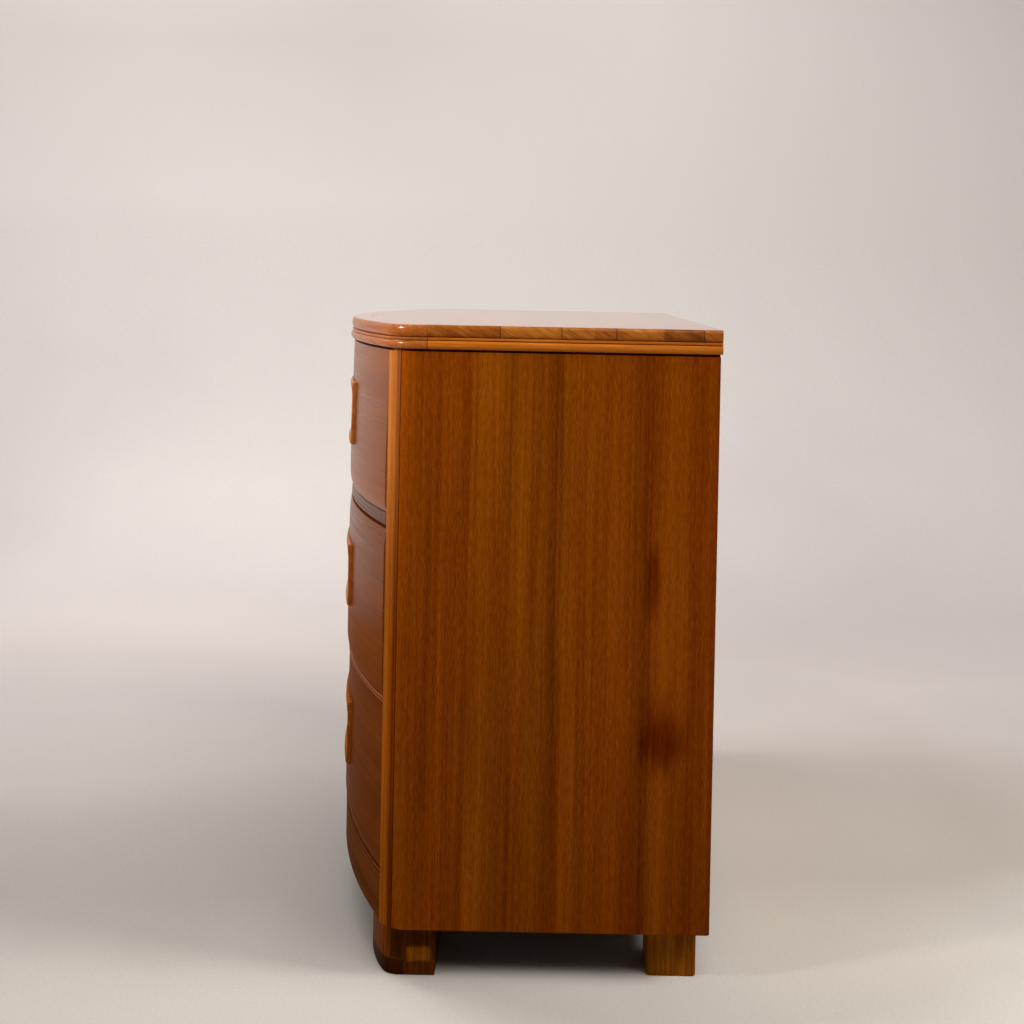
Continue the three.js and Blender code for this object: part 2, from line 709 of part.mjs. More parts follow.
function addDrawer(name, railTop, frontHeight, pullOffset) {
  const drawer = new THREE.Group();
  const frontBottom = railTop + frontGap;
  const frontTop = frontBottom + frontHeight;
  const sideBottom = railTop + slideGap;
  const sideTop = frontTop - boxTopDrop;
  const panelBottom = sideBottom + bottomRise;
  const panelTop = panelBottom + bottomThickness;

  const pullMiddle = (frontBottom + frontTop) / 2 + pullOffset;

  // Front, with a socket for each dovetail, a groove for the bottom and a housing for each pull
  const socketPlan = sidePlan(boxInnerX - fitGap, boxHalfWidth + cutOverrun, faceBack + tailDepth);
  const socketBoard = toSolid(board(socketPlan, frontBottom, sideTop));
  const sockets = socketBoard.intersect(dovetails(sideBottom, sideTop, fitGap));
  const panelEdge = boxInnerX + grooveDepth;
  const groove = toSolid(board(
    bottomPlan(panelEdge, faceBack + grooveDepth), panelBottom - fitGap, panelTop + fitGap,
  ));
  const front = toSolid(bowedMoulding(faceSection(frontBottom, frontTop), boxHalfWidth));
  const leftSockets = toSolid(mirrorX(toGeometry(sockets)));
  const cuts = [sockets, leftSockets, groove, pullHousing(1, pullMiddle), pullHousing(-1, pullMiddle)];
  const cutFront = cuts.reduce((rest, cut) => rest.subtract(cut), front);
  add(drawer, `${name}_front`, toGeometry(cutFront), frontVeneer);

  // Sides, bottom and back
  const tailPlan = sidePlan(boxInnerX, boxHalfWidth, faceBack + tailDepth - fitGap);
  const tailBoard = toSolid(board(tailPlan, sideBottom, sideTop));
  const tails = tailBoard.intersect(dovetails(sideBottom, sideTop, 0));
  const sideBoard = toSolid(board(sidePlan(boxInnerX, boxHalfWidth, boxFront), sideBottom, sideTop));
  const sideGroove = toSolid(block(
    0, panelEdge, -bowRise, boxBackY + cutOverrun, panelBottom - fitGap, panelTop + fitGap,
  ));
  addPair(drawer, `${name}_side`, toGeometry(sideBoard.add(tails).subtract(sideGroove)), boxWood);

  const panel = bottomPlan(panelEdge - fitGap, faceBack + grooveDepth - fitGap);
  add(drawer, `${name}_bottom`, board(panel, panelBottom, panelTop), plywood);

  const backX = boxInnerX - fitGap;
  const backFront = boxBackY - boxSideThickness;
  const back = block(-backX, backX, backFront, boxBackY, panelTop + fitGap, sideTop - boxBackDrop);
  add(drawer, `${name}_back`, back, boxWood);

  // Guide under the bottom that runs over the track of the case
  const guideHalf = guideWidth / 2;
  const slotHalf = trackWidth / 2 + slideGap;
  const guideBottom = railTop + 2 * slideGap;
  const guideTop = panelBottom - fitGap;
  const slotTop = railTop + trackHeight + slideGap;
  const guide = new THREE.Shape([
    new THREE.Vector2(-guideHalf, guideBottom),
    new THREE.Vector2(-slotHalf, guideBottom),
    new THREE.Vector2(-slotHalf, slotTop),
    new THREE.Vector2(slotHalf, slotTop),
    new THREE.Vector2(slotHalf, guideBottom),
    new THREE.Vector2(guideHalf, guideBottom),
    new THREE.Vector2(guideHalf, guideTop),
    new THREE.Vector2(-guideHalf, guideTop),
  ]);
  const guideFront = bowY(guideHalf, boxFront);
  const guideRun = new THREE.ExtrudeGeometry(guide, { depth: boxBackY - guideFront, bevelEnabled: false });
  add(drawer, `${name}_guide`, guideRun.rotateX(Math.PI / 2).translate(0, boxBackY, 0), boxWood);

  addPull(drawer, `${name}_pull_right`, 1, pullMiddle);
  addPull(drawer, `${name}_pull_left`, -1, pullMiddle);
  chest.add(drawer);
}

addTop();
addSides();
addRails();
addFeet();
addDrawer('top_drawer', upperRailTop, topFrontHeight, topPullRaise);
addDrawer('middle_drawer', lowerRailTop, middleFrontHeight, pullRaise);
addDrawer('bottom_drawer', bottomRailTop, bottomFrontHeight, pullRaise);

// Half way between the foremost point of the bead and the back edge of the top lies over the origin.
chest.position.y = (bowRise + beadProjection - backY) / 2;

export default chest;
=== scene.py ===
import math

import bmesh
import bpy
from mathutils import Matrix, Vector


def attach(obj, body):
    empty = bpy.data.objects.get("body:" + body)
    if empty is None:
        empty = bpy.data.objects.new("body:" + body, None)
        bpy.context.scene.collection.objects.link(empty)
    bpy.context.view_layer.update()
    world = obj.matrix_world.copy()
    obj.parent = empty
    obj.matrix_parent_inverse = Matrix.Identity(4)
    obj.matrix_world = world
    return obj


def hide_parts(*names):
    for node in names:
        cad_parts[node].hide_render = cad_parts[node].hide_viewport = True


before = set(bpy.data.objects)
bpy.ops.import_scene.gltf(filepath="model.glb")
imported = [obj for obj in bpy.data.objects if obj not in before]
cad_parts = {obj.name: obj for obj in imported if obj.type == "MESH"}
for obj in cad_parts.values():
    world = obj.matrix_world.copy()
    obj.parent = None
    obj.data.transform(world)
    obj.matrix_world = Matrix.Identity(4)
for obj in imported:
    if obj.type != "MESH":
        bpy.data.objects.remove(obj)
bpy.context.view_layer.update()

# Bow-front chest of drawers. Sizes are in millimetres, as in the CAD, and each point is turned to
# metres where a mesh is made. y = 0 is the line that joins the two ends of the bow; planShift then
# moves everything so that the chest is centred.
mm = 0.001
planShift = -157.25
case = {
    "height": 864.0,
    "halfWidth": 457.0,
    "sideDepth": 426.5,
    "backY": 428.9,
    "bowRise": 110.0,
    "cornerRadius": 44.0,
    "footTop": 65.0,
    "caseTop": 828.6,
    "beadBottom": 831.9,
    "slabBottom": 847.3,
    "shadowDepth": 6.0,
    "innerX": 438.0,
    "stileShare": 0.555,
    "edgeJointY": 40.0,
    "gap": 0.3,
    "bowSteps": 96,
}
# What the meshes share: metres within which points merge, degrees from which a corner counts as an
# arris, and the steps of a small and of a soft rounding
finish = {"mergeDistance": 1e-7, "arrisAngle": 32.0, "arrisSegments": 2, "softSegments": 4}
bowRadius = (case["halfWidth"] ** 2 + case["bowRise"] ** 2) / (2 * case["bowRise"])
bowCentreY = bowRadius - case["bowRise"]
cornerX = case["halfWidth"] - case["cornerRadius"]
cornerY = bowCentreY - math.sqrt((bowRadius - case["cornerRadius"]) ** 2 - cornerX**2)
cornerTurn = math.atan2(cornerY - bowCentreY, cornerX)
seamTurn = cornerTurn * (1 - case["stileShare"])
seamY = cornerY + case["cornerRadius"] * math.sin(seamTurn)
stileFrontX = cornerX + case["cornerRadius"] * math.cos(cornerTurn)


# Geometry helpers

def clamped(value):
    return min(1.0, max(0.0, value))


def quarterTurns(steps):
    return [math.pi / 2 * i / steps for i in range(steps + 1)]


def bowY(x, projection):
    return bowCentreY - math.sqrt((bowRadius + projection) ** 2 - x**2)


def arc(centreX, centreY, radius, start, end, steps):
    return [
        (centreX + radius * math.cos(start + (end - start) * i / steps),
         centreY + radius * math.sin(start + (end - start) * i / steps))
        for i in range(steps + 1)
    ]


def planY(y):
    return (y + planShift) * mm


def place(x, y, z):
    return Vector((x * mm, planY(y), z * mm))


def extendTo(bm, row, points, closed=True):
    # Extrudes a row of corners to the next points and returns the new row
    following = row[1:] + row[:1] if closed else row[1:]
    edges = [bm.edges.get(pair) for pair in zip(row, following)]
    grown = set(bmesh.ops.extrude_edge_only(bm, edges=edges)["geom"])
    row = [next(e.other_vert(v) for e in v.link_edges if e.other_vert(v) in grown) for v in row]
    for vert, point in zip(row, points):
        vert.co = point
    return row


def loft(bm, rings):
    row = [bm.verts.new(point) for point in rings[0]]
    bm.faces.new(row)
    for ring in rings[1:]:
        row = extendTo(bm, row, ring)
    bm.faces.new(row)


def skin(rings):
    # One closed solid through rings of points
    bm = bmesh.new()
    loft(bm, rings)
    bmesh.ops.remove_doubles(bm, verts=bm.verts, dist=finish["mergeDistance"])
    bmesh.ops.recalc_face_normals(bm, faces=bm.faces)
    return bm


def bevelEdges(bm, edges, width, segments):
    bmesh.ops.bevel(
        bm, geom=edges, offset=width * mm, offset_type="OFFSET", segments=segments,
        profile=0.5, affect="EDGES", clamp_overlap=True, material=-1,
    )


def roundArrises(bm, width, longest=math.inf):
    edges = [
        edge for edge in bm.edges
        if len(edge.link_faces) == 2
        and edge.calc_face_angle(0) > math.radians(finish["arrisAngle"])
        and edge.calc_length() < longest
    ]
    bevelEdges(bm, edges, width, finish["arrisSegments"])


def asObject(name, bm):
    mesh = bpy.data.meshes.new(name)
    bm.to_mesh(mesh)
    bm.free()
    made = bpy.data.objects.new(name, mesh)
    bpy.context.scene.collection.objects.link(made)
    return made


def makePiece(name, bm, body, node, material, weighted=True):
    bmesh.ops.recalc_face_normals(bm, faces=bm.faces)
    piece = asObject(name, bm)
    piece.data.shade_smooth()
    piece.data.materials.append(material)
    if weighted:
        # keeps broad faces flat where they meet a rounded arris
        normals = piece.modifiers.new("flat faces", "WEIGHTED_NORMAL")
        normals.weight = 100
        normals.keep_sharp = True
    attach(piece, body)
    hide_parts(node)


def makePair(name, right, node, material):
    # Both sides of the case, the left one a mirror image
    for word, bm in (("right", right), ("left", mirrored(right))):
        makePiece(f"{name}_{word}", bm, "case", f"{node}_{word}", material)


def mirrored(bm):
    twin = bm.copy()
    bmesh.ops.scale(twin, vec=(-1, 1, 1), verts=twin.verts)
    bmesh.ops.reverse_faces(twin, faces=twin.faces)
    return twin


def sweptRing(section, path):
    # path holds points of the plan with their outward normals; section holds [projection, height]
    return skin([
        [place(x + nx * out, y + ny * out, z) for out, z in section] for x, y, nx, ny in path
    ])


def bowedBoard(section, endX):
    steps = case["bowSteps"]
    stations = [-endX + 2 * endX * i / steps for i in range(steps + 1)]
    return skin([[place(x, bowY(x, out), z) for out, z in section] for x in stations])


def standing(plans):
    # A solid through plans that lie above each other, each with its height
    return skin([[place(x, y, z) for x, y in plan] for plan, z in plans])


def smoothed(points, rounds):
    # Cuts the corners of an open run of points, which keep their two ends
    for _ in range(rounds):
        cut = [points[0]]
        for a, b in zip(points, points[1:]):
            cut.append(tuple(p * 0.75 + q * 0.25 for p, q in zip(a, b)))
            cut.append(tuple(p * 0.25 + q * 0.75 for p, q in zip(a, b)))
        cut.append(points[-1])
        points = cut
    return points


# Materials

times, plus, minus = {"operation": "MULTIPLY"}, {"operation": "ADD"}, {"operation": "SUBTRACT"}
multiply = {"data_type": "RGBA", "blend_type": "MULTIPLY"}
cover = {"data_type": "RGBA", "blend_type": "MIX"}
smooth = {"interpolation_type": "SMOOTHSTEP"}


def colour(text):
    channels = [int(text[i:i + 2], 16) / 255 for i in (1, 3, 5)]
    linear = [c / 12.92 if c <= 0.04045 else ((c + 0.055) / 1.055) ** 2.4 for c in channels]
    return (*linear, 1.0)


def addNode(tree, kind, inputs=(), stops=(), **settings):
    # Adds a node, sets or joins its inputs and returns its outputs. Text stands for a hex colour, and
    # only a colour ramp has stops.
    node = tree.nodes.new("ShaderNode" + kind)
    for key, value in settings.items():
        setattr(node, key, value)
    for key, value in inputs.items() if isinstance(inputs, dict) else enumerate(inputs):
        if isinstance(value, bpy.types.NodeSocket):
            tree.links.new(value, node.inputs[key])
        else:
            node.inputs[key].default_value = colour(value) if isinstance(value, str) else value
    if stops:
        band = node.color_ramp.elements
        while len(band) < len(stops):
            band.new(0.5)
        for element, (position, tone) in zip(band, stops):
            element.position = position
            element.color = colour(tone) if isinstance(tone, str) else (tone, tone, tone, 1)
    return node.outputs


def startMaterial(name):
    material = bpy.data.materials.new(name)
    material.use_nodes = True
    material.node_tree.nodes.clear()
    return material, material.node_tree


def lumps(tree, coordinates, sizes, detail=2.0, roughness=0.5, distortion=0.0):
    # Cloudy pattern: sizes are the widths in millimetres of one lump along x, y and z
    scale = [1 / (size * mm) for size in sizes]
    stretched = addNode(tree, "Mapping", {"Vector": coordinates, "Scale": scale})[0]
    return addNode(tree, "TexNoise", {
        "Vector": stretched, "Scale": 1.0, "Detail": detail, "Roughness": roughness, "Distortion": distortion,
    })["Fac"]


def clouds(tree, coordinates, sizes, detail, low, high):
    # The same pattern spread out from low to high; nearly all of it lies between 0.3 and 0.7
    pattern = lumps(tree, coordinates, sizes, detail)
    return addNode(tree, "MapRange", [pattern, 0.3, 0.7, low, high])[0]


def awayFrom(tree, value, line):
    offset = addNode(tree, "Math", [value, line], **minus)[0]
    return addNode(tree, "Math", [offset], operation="ABSOLUTE")[0]


# What every wood has unless its own dictionary says otherwise. The grain is four cloudy patterns,
# drawn out along the fibre: detail, roughness and distortion of each stand here, and its length
# and width in millimetres in the wood's own dictionary. Real vessel lines are 0.1 to 0.3 mm wide,
# too fine to show, so fibre and pores are drawn 0.6 to 3 mm wide. bumpDepth is in millimetres.
woodBasics = {
    "layers": {"broad": (2, 0.5, 0.15), "streaks": (4, 0.6), "fibre": (2, 0.6), "pores": (1, 0.5)},
    "toneSpan": (0.32, 0.68), "poreSpan": (0.6, 0.74), "bump": 0.12, "bumpDepth": 0.2, "fibreRelief": 0.5,
    "specular": 0.3, "dullShare": 0.003, "glossSpan": (0.3, 0.7), "glossWander": 0.05,
    "coat": 0.0, "coatRoughness": 0.12, "coatIor": 1.5,
    "polishSpan": (0.85, 0.98), "polishCoat": 1.0, "polishRoughness": 0.07,
}


def grainLayer(tree, coordinates, look, layer):
    along, across = look[layer]
    sizes = [along if axis == look["grain"] else across for axis in "xyz"]
    return lumps(tree, coordinates, sizes, *look["layers"][layer])


def levelWithBow(tree, coordinates):
    # Boards cut to the bow keep their grain level: depth counts from the bow's own line
    parts = addNode(tree, "SeparateXYZ", [coordinates])
    square = addNode(tree, "Math", [parts["X"], parts["X"]], **times)[0]
    rest = addNode(tree, "Math", [(bowRadius * mm) ** 2, square], **minus)[0]
    reach = addNode(tree, "Math", [rest], operation="SQRT")[0]
    depth = addNode(tree, "Math", [parts["Y"], reach], **plus)[0]
    return addNode(tree, "CombineXYZ", [parts["X"], depth, parts["Z"]])[0]


def wood(name, ownLook):
    look = {**woodBasics, **ownLook}
    material, tree = startMaterial(name)
    level = addNode(tree, "TexCoord")["Object"]
    coordinates = level
    if "turn" in look:
        coordinates = addNode(tree, "Mapping", {"Vector": level, "Rotation": look["turn"]})[0]
    if "bowed" in look:
        coordinates = levelWithBow(tree, level)
    broad, streaks, fibre, poreDots = [
        grainLayer(tree, coordinates, look, layer) for layer in ("broad", "streaks", "fibre", "pores")
    ]

    tone = addNode(tree, "Math", [broad, look["shares"][0]], **times)[0]
    for layer, share in zip((streaks, fibre), look["shares"][1:]):
        part = addNode(tree, "Math", [layer, share], **times)[0]
        tone = addNode(tree, "Math", [tone, part], **plus)[0]
    if "figure" in look:
        tone = addNode(tree, "Math", [tone, look["figure"](tree, coordinates)], **plus)[0]
    tone = addNode(tree, "MapRange", [tone, *look["toneSpan"]])[0]
    base = addNode(tree, "ValToRGB", [tone], list(zip((0.0, 0.5, 1.0), look["tones"])))[0]
    if "tint" in look:
        base = look["tint"](tree, level, base)
    pores = addNode(tree, "MapRange", [poreDots, *look["poreSpan"], 0.0, look["poreShare"]])[0]
    base = addNode(tree, "Mix", {0: pores, 6: base, 7: look["poreTone"]}, **multiply)[2]

    raised = addNode(tree, "Math", [fibre, look["fibreRelief"]], **times)[0]
    relief = addNode(tree, "Math", [raised, pores], **minus)[0]
    bump = addNode(tree, "Bump", {
        "Height": relief, "Strength": look["bump"], "Distance": look["bumpDepth"] * mm,
    })[0]
    gloss, coat, coatRoughness = look["roughness"], look["coat"], look["coatRoughness"]
    if not coat:
        wander = look["glossWander"]
        gloss = addNode(tree, "MapRange", [streaks, *look["glossSpan"], gloss - wander, gloss + wander])[0]
    specular = look["specular"]
    if "dull" in look:
        # the lacquer shines less and less from the upper of these heights down to the lower
        height = addNode(tree, "SeparateXYZ", [level])["Z"]
        least = look["dullShare"] * specular
        specular = addNode(tree, "MapRange", [height, *look["dull"], least, specular], **smooth)[0]
    if "polishedTop" in look:
        # level faces are rubbed down like the panel of the top
        normal = addNode(tree, "NewGeometry")["Normal"]
        upwards = addNode(tree, "SeparateXYZ", [normal])["Z"]
        span = look["polishSpan"]
        coat = addNode(tree, "MapRange", [upwards, *span, coat, look["polishCoat"]])[0]
        coatRoughness = addNode(tree, "MapRange", [upwards, *span, coatRoughness, look["polishRoughness"]])[0]
    shader = addNode(tree, "BsdfPrincipled", {
        "Base Color": base, "Roughness": gloss, "Normal": bump, "Specular IOR Level": specular,
        "Coat Weight": coat, "Coat Roughness": coatRoughness, "Coat IOR": look["coatIor"],
    })[0]
    addNode(tree, "OutputMaterial", [shader])
    return material


# Side veneer: slip-matched leaves of one width, each with a bright ribbon near its front joint and
# a weaker one further back. Its tone follows a ramp along its depth, painted shade darkens it towards
# the bottom, more so at the back, its leaves turn from olive to red, and two reddish stains lie near
# the back edge: y, z, half width, half height and share.
veneer = {
    "leafWidth": 121.0, "leafJointY": 99.0, "wander": 3.0, "ribbonFade": (0.16, 0.32),
    "ribbon": (
        (0.0, 0.42), (0.06, 0.62), (0.15, 0.92), (0.3, 0.66), (0.46, 0.34),
        (0.66, 0.6), (0.82, 0.36), (0.94, 0.14), (1.0, 0.2),
    ),
    "toneDepths": (0.0, 430.0),
    "depthTones": (
        (0.0, "#e8d6cc"), (0.17, "#efe0d6"), (0.27, "#ddd2c8"), (0.38, "#dad3ca"), (0.5, "#dcd5cb"),
        (0.63, "#e6ddd4"), (0.78, "#dccec4"), (0.9, "#dacabf"),
    ),
    "shadeHeights": (550.0, 80.0), "shadeShare": 0.55, "shadeTone": "#d2c0ac",
    "leafHues": ((0.0, "#fff0e4"), (1.0, "#fdfaf0")),
    "stains": ((343, 535, 13, 60, 0.6), (356, 325, 36, 52, 0.8)),
    "stainTone": "#a45c44", "stainEdge": (1.25, 0.2), "stainRough": 0.25,
}


def ribbons(tree, coordinates):
    # An offset of the tone
    parts = addNode(tree, "SeparateXYZ", [coordinates])
    wander = clouds(tree, coordinates, (400, 60, 260), 1, -veneer["wander"] * mm, veneer["wander"] * mm)
    y = addNode(tree, "Math", [parts["Y"], wander], **plus)[0]
    y = addNode(tree, "Math", [y, planY(veneer["leafJointY"])], **minus)[0]
    leaves = addNode(tree, "Math", [y, veneer["leafWidth"] * mm], operation="DIVIDE")[0]
    within = addNode(tree, "Math", [leaves], operation="FRACT")[0]
    band = addNode(tree, "ValToRGB", [within], veneer["ribbon"])[0]
    fade = clouds(tree, coordinates, (900, 200, 320), 2, *veneer["ribbonFade"])
    centred = addNode(tree, "Math", [band, 0.5], **minus)[0]
    return addNode(tree, "Math", [centred, fade], **times)[0]


def sideTonesAndShade(tree, coordinates, base):
    parts = addNode(tree, "SeparateXYZ", [coordinates])
    # a tone ramp along the depth
    backwards = addNode(tree, "MapRange", [parts["Y"], *map(planY, veneer["toneDepths"])])[0]
    alongDepth = addNode(tree, "ValToRGB", [backwards], veneer["depthTones"])[0]
    base = addNode(tree, "Mix", {0: 1.0, 6: base, 7: alongDepth}, **multiply)[2]
    # painted shade: darker towards the bottom, more so towards the back
    span = [z * mm for z in veneer["shadeHeights"]]
    low = addNode(tree, "MapRange", [parts["Z"], *span, 0.0, veneer["shadeShare"]], **smooth)[0]
    low = addNode(tree, "Math", [low, backwards], **times)[0]
    base = addNode(tree, "Mix", {0: low, 6: base, 7: veneer["shadeTone"]}, **multiply)[2]
    hue = addNode(tree, "MapRange", [lumps(tree, coordinates, (900, 34, 700), 2), 0.4, 0.6])[0]
    hue = addNode(tree, "ValToRGB", [hue], veneer["leafHues"])[0]
    base = addNode(tree, "Mix", {0: 1.0, 6: base, 7: hue}, **multiply)[2]
    for y, z, wide, tall, share in veneer["stains"]:
        squares = []
        for value, line, half in ((parts["Y"], planY(y), wide), (parts["Z"], z * mm, tall)):
            away = awayFrom(tree, value, line)
            away = addNode(tree, "Math", [away, half * mm], operation="DIVIDE")[0]
            squares.append(addNode(tree, "Math", [away, 2.0], operation="POWER")[0])
        far = addNode(tree, "Math", squares, **plus)[0]
        far = addNode(tree, "Math", [far], operation="SQRT")[0]
        rough = clouds(tree, coordinates, (40, 14, 60), 2, -veneer["stainRough"], veneer["stainRough"])
        far = addNode(tree, "Math", [far, rough], **plus)[0]
        spread = addNode(tree, "MapRange", [far, *veneer["stainEdge"], 0.0, share], **smooth)[0]
        base = addNode(tree, "Mix", {0: spread, 6: base, 7: veneer["stainTone"]}, **multiply)[2]
    return base


# Right-hand edge of the slab: short blocks of different tone, glued end to end
edgeBlocks = {
    "depths": (40.0, 440.0), "share": 0.9, "joints": (136.0, 217.0, 289.0, 404.0),
    "tones": (
        (0.0, "#cdb88c"), (0.24, "#f4ead0"), (0.4425, "#ffffff"), (0.55, "#e8d4b4"),
        (0.6225, "#efdcc0"), (0.775, "#c2ac8c"), (0.91, "#ead6b0"),
    ),
    "glueTone": "#4a2a12", "glueEdge": (0.9, 0.3), "glueShare": 0.75,
}


def blockTones(tree, coordinates, base):
    depth = addNode(tree, "SeparateXYZ", [coordinates])["Y"]
    along = addNode(tree, "MapRange", [depth, *map(planY, edgeBlocks["depths"])])[0]
    tones = addNode(tree, "ValToRGB", [along], edgeBlocks["tones"])[0]
    tones.node.color_ramp.interpolation = "CONSTANT"
    base = addNode(tree, "Mix", {0: edgeBlocks["share"], 6: base, 7: tones}, **multiply)[2]
    edge = [width * mm for width in edgeBlocks["glueEdge"]]
    for joint in edgeBlocks["joints"]:
        away = awayFrom(tree, depth, planY(joint))
        line = addNode(tree, "MapRange", [away, *edge, 0.0, edgeBlocks["glueShare"]])[0]
        base = addNode(tree, "Mix", {0: line, 6: base, 7: edgeBlocks["glueTone"]}, **multiply)[2]
    return base


# Painted shade on the stile: darker towards its seam with the side veneer, where it turns from the
# light, with dark lines near the seam, painted light and shade up its height, and more painted shade
# towards the floor near the seam
stileShading = {
    "frontY": -12.3,
    "seamwards": (
        (0.0, "#f4ece4"), (0.15, "#ffffff"), (0.6, "#f6efe8"), (0.73, "#d6c6b4"), (0.8, "#ae9880"),
        (0.88, "#d2c2b0"), (0.95, "#b8a490"), (1.0, "#987e66"),
    ),
    "heights": (60.0, 830.0),
    "upwards": (
        (0.0, "#f0e2cc"), (0.1, "#ecdcc2"), (0.28, "#fff4e0"), (0.45, "#ece0cc"), (0.62, "#dccfbe"),
        (0.8, "#f2ece6"),
    ),
    "shadeHeights": (620.0, 420.0), "shadeTone": "#d6c2ac",
}


def stileShade(tree, coordinates, base):
    parts = addNode(tree, "SeparateXYZ", [coordinates])
    # painted shade where the stile turns from the light
    seamwards = addNode(tree, "MapRange", [parts["Y"], planY(stileShading["frontY"]), planY(seamY)])[0]
    # painted light and shade up the height
    upwards = addNode(tree, "MapRange", [parts["Z"], *[z * mm for z in stileShading["heights"]]])[0]
    for along, key in ((seamwards, "seamwards"), (upwards, "upwards")):
        tones = addNode(tree, "ValToRGB", [along], stileShading[key])[0]
        base = addNode(tree, "Mix", {0: 1.0, 6: base, 7: tones}, **multiply)[2]
    # painted shade towards the floor, more near the seam
    span = [z * mm for z in stileShading["shadeHeights"]]
    low = addNode(tree, "MapRange", [parts["Z"], *span], **smooth)[0]
    low = addNode(tree, "Math", [low, seamwards], **times)[0]
    return addNode(tree, "Mix", {0: low, 6: base, 7: stileShading["shadeTone"]}, **multiply)[2]


# The right front foot shows the blocks it is glued up from: plan y and z of each, and its tone
footBlocks = {
    "blocks": (
        ((-40, 4), (22, 70), "#e8cca4"), ((4, 24), (22, 70), "#8c7c6c"), ((-40, 24), (-5, 22), "#7a6a58"),
        ((24, 70), (-5, 19), "#a89478"), ((58, 70), (19, 70), "#8c7c68"), ((24, 58), (39, 70), "#92826e"),
        ((24, 28), (19, 39), "#8c7c6c"),
    ),
    "waver": 1.5, "edge": 2.0,
}


def gluedBlocks(tree, coordinates, base):
    parts = addNode(tree, "SeparateXYZ", [coordinates])
    waver, edge = footBlocks["waver"] * mm, footBlocks["edge"] * mm
    drift = clouds(tree, coordinates, (40, 40, 24), 1, -waver, waver)
    y = addNode(tree, "Math", [parts["Y"], drift], **plus)[0]
    z = addNode(tree, "Math", [parts["Z"], drift], **plus)[0]
    for (front, back), (low, high), tone in footBlocks["blocks"]:
        awayY = awayFrom(tree, y, planY((front + back) / 2))
        awayZ = awayFrom(tree, z, (low + high) / 2 * mm)
        insideY = addNode(tree, "Math", [(back - front) / 2 * mm, awayY], **minus)[0]
        insideZ = addNode(tree, "Math", [(high - low) / 2 * mm, awayZ], **minus)[0]
        inside = addNode(tree, "Math", [insideY, insideZ], operation="MINIMUM")[0]
        inside = addNode(tree, "MapRange", [inside, -edge, edge])[0]
        base = addNode(tree, "Mix", {0: inside, 6: base, 7: tone}, **multiply)[2]
    return base


# Painted shadow lines under the rails' edges and painted highlights along their arrises: height of
# each line, its half width, tone and share
railShadowsAndHighlights = {
    "upper": ((593.3, 1.0, "#1c0c04", 0.9),),
    "lower": ((354.8, 1.0, "#1c0c04", 0.9), (363.1, 0.5, "#c88c58", 0.5)),
    "bottom": ((123.6, 0.45, "#b08468", 0.5), (130.6, 0.45, "#b08468", 0.5)),
}
lineFade = 0.2


def paintedLines(lines):
    def tint(tree, coordinates, base):
        # paints each shadow or highlight line over the tone
        height = addNode(tree, "SeparateXYZ", [coordinates])["Z"]
        for z, half, tone, share in lines:
            away = awayFrom(tree, height, z * mm)
            edge = [(half + lineFade) * mm, (half - lineFade) * mm]
            line = addNode(tree, "MapRange", [away, *edge, 0.0, share])[0]
            base = addNode(tree, "Mix", {0: line, 6: base, 7: tone}, **cover)[2]
        return base
    return tint


# Dark glue line of the bead where its side piece starts
beadGlue = {"edge": (1.4, 0.8), "share": 0.8, "tone": "#2c1404"}


def beadJoint(tree, coordinates, base):
    depth = addNode(tree, "SeparateXYZ", [coordinates])["Y"]
    behind = addNode(tree, "Math", [depth, planY(case["edgeJointY"])], **minus)[0]
    edge = [width * mm for width in beadGlue["edge"]]
    line = addNode(tree, "MapRange", [behind, *edge, 0.0, beadGlue["share"]])[0]
    return addNode(tree, "Mix", {0: line, 6: base, 7: beadGlue["tone"]}, **cover)[2]


# Thin slices of mahogany with their ribbons upright. The old lacquer is thin, so the face shows its
# colour and hardly any shine.
sideVeneer = wood("Mahogany side veneer, ribbon figure, clear lacquer", {
    "grain": "z", "tones": ("#6b3005", "#8f4b09", "#ad660e"),
    "broad": (1400, 38), "streaks": (420, 5), "fibre": (13, 1.7), "pores": (6, 0.7),
    "shares": (0.32, 0.32, 0.36), "figure": ribbons, "tint": sideTonesAndShade,
    "poreTone": "#8a4a20", "poreShare": 0.3, "roughness": 0.4, "specular": 0.01, "bump": 0.05,
})
# The same wood with its grain level round the bow, under fuller lacquer: a soft sheen high up that
# is gone lower down, where the wood looks darker and redder
frontLook = {
    "grain": "x", "bowed": True, "shares": (0.42, 0.34, 0.24),
    "broad": (900, 60), "streaks": (700, 6), "fibre": (160, 2.0), "pores": (30, 0.8),
    "poreTone": "#6a3a1c", "poreShare": 0.0, "roughness": 0.3, "specular": 0.3, "dull": (0.42, 0.82),
    "bump": 0.0,
}
frontVeneer = wood("Mahogany front veneer, level grain, clear lacquer", {
    **frontLook, "tones": ("#66300d", "#763b0f", "#8c4c18"),
})
# The front veneer again with darker tones: painted shade near the floor
shadedApronVeneer = wood("Mahogany apron veneer, darkened towards the floor, clear lacquer", {
    **frontLook, "tones": ("#542a0c", "#64330e", "#784116"),
})
# Rubbed and polished, so that it mirrors the pale backdrop at a low angle and hides its grain
topVeneer = wood("Mahogany top veneer, clear lacquer", {
    "grain": "x", "tones": ("#6e3612", "#a05a28", "#c88048"), "shares": (0.36, 0.36, 0.28),
    "broad": (1100, 70), "streaks": (500, 5), "fibre": (60, 1.3), "pores": (7, 0.7),
    "poreTone": "#6a3a20", "poreShare": 0.2, "roughness": 0.4, "specular": 0.0, "bump": 0.01,
    "coat": 1.0, "coatRoughness": 0.07, "coatIor": 1.6,
})
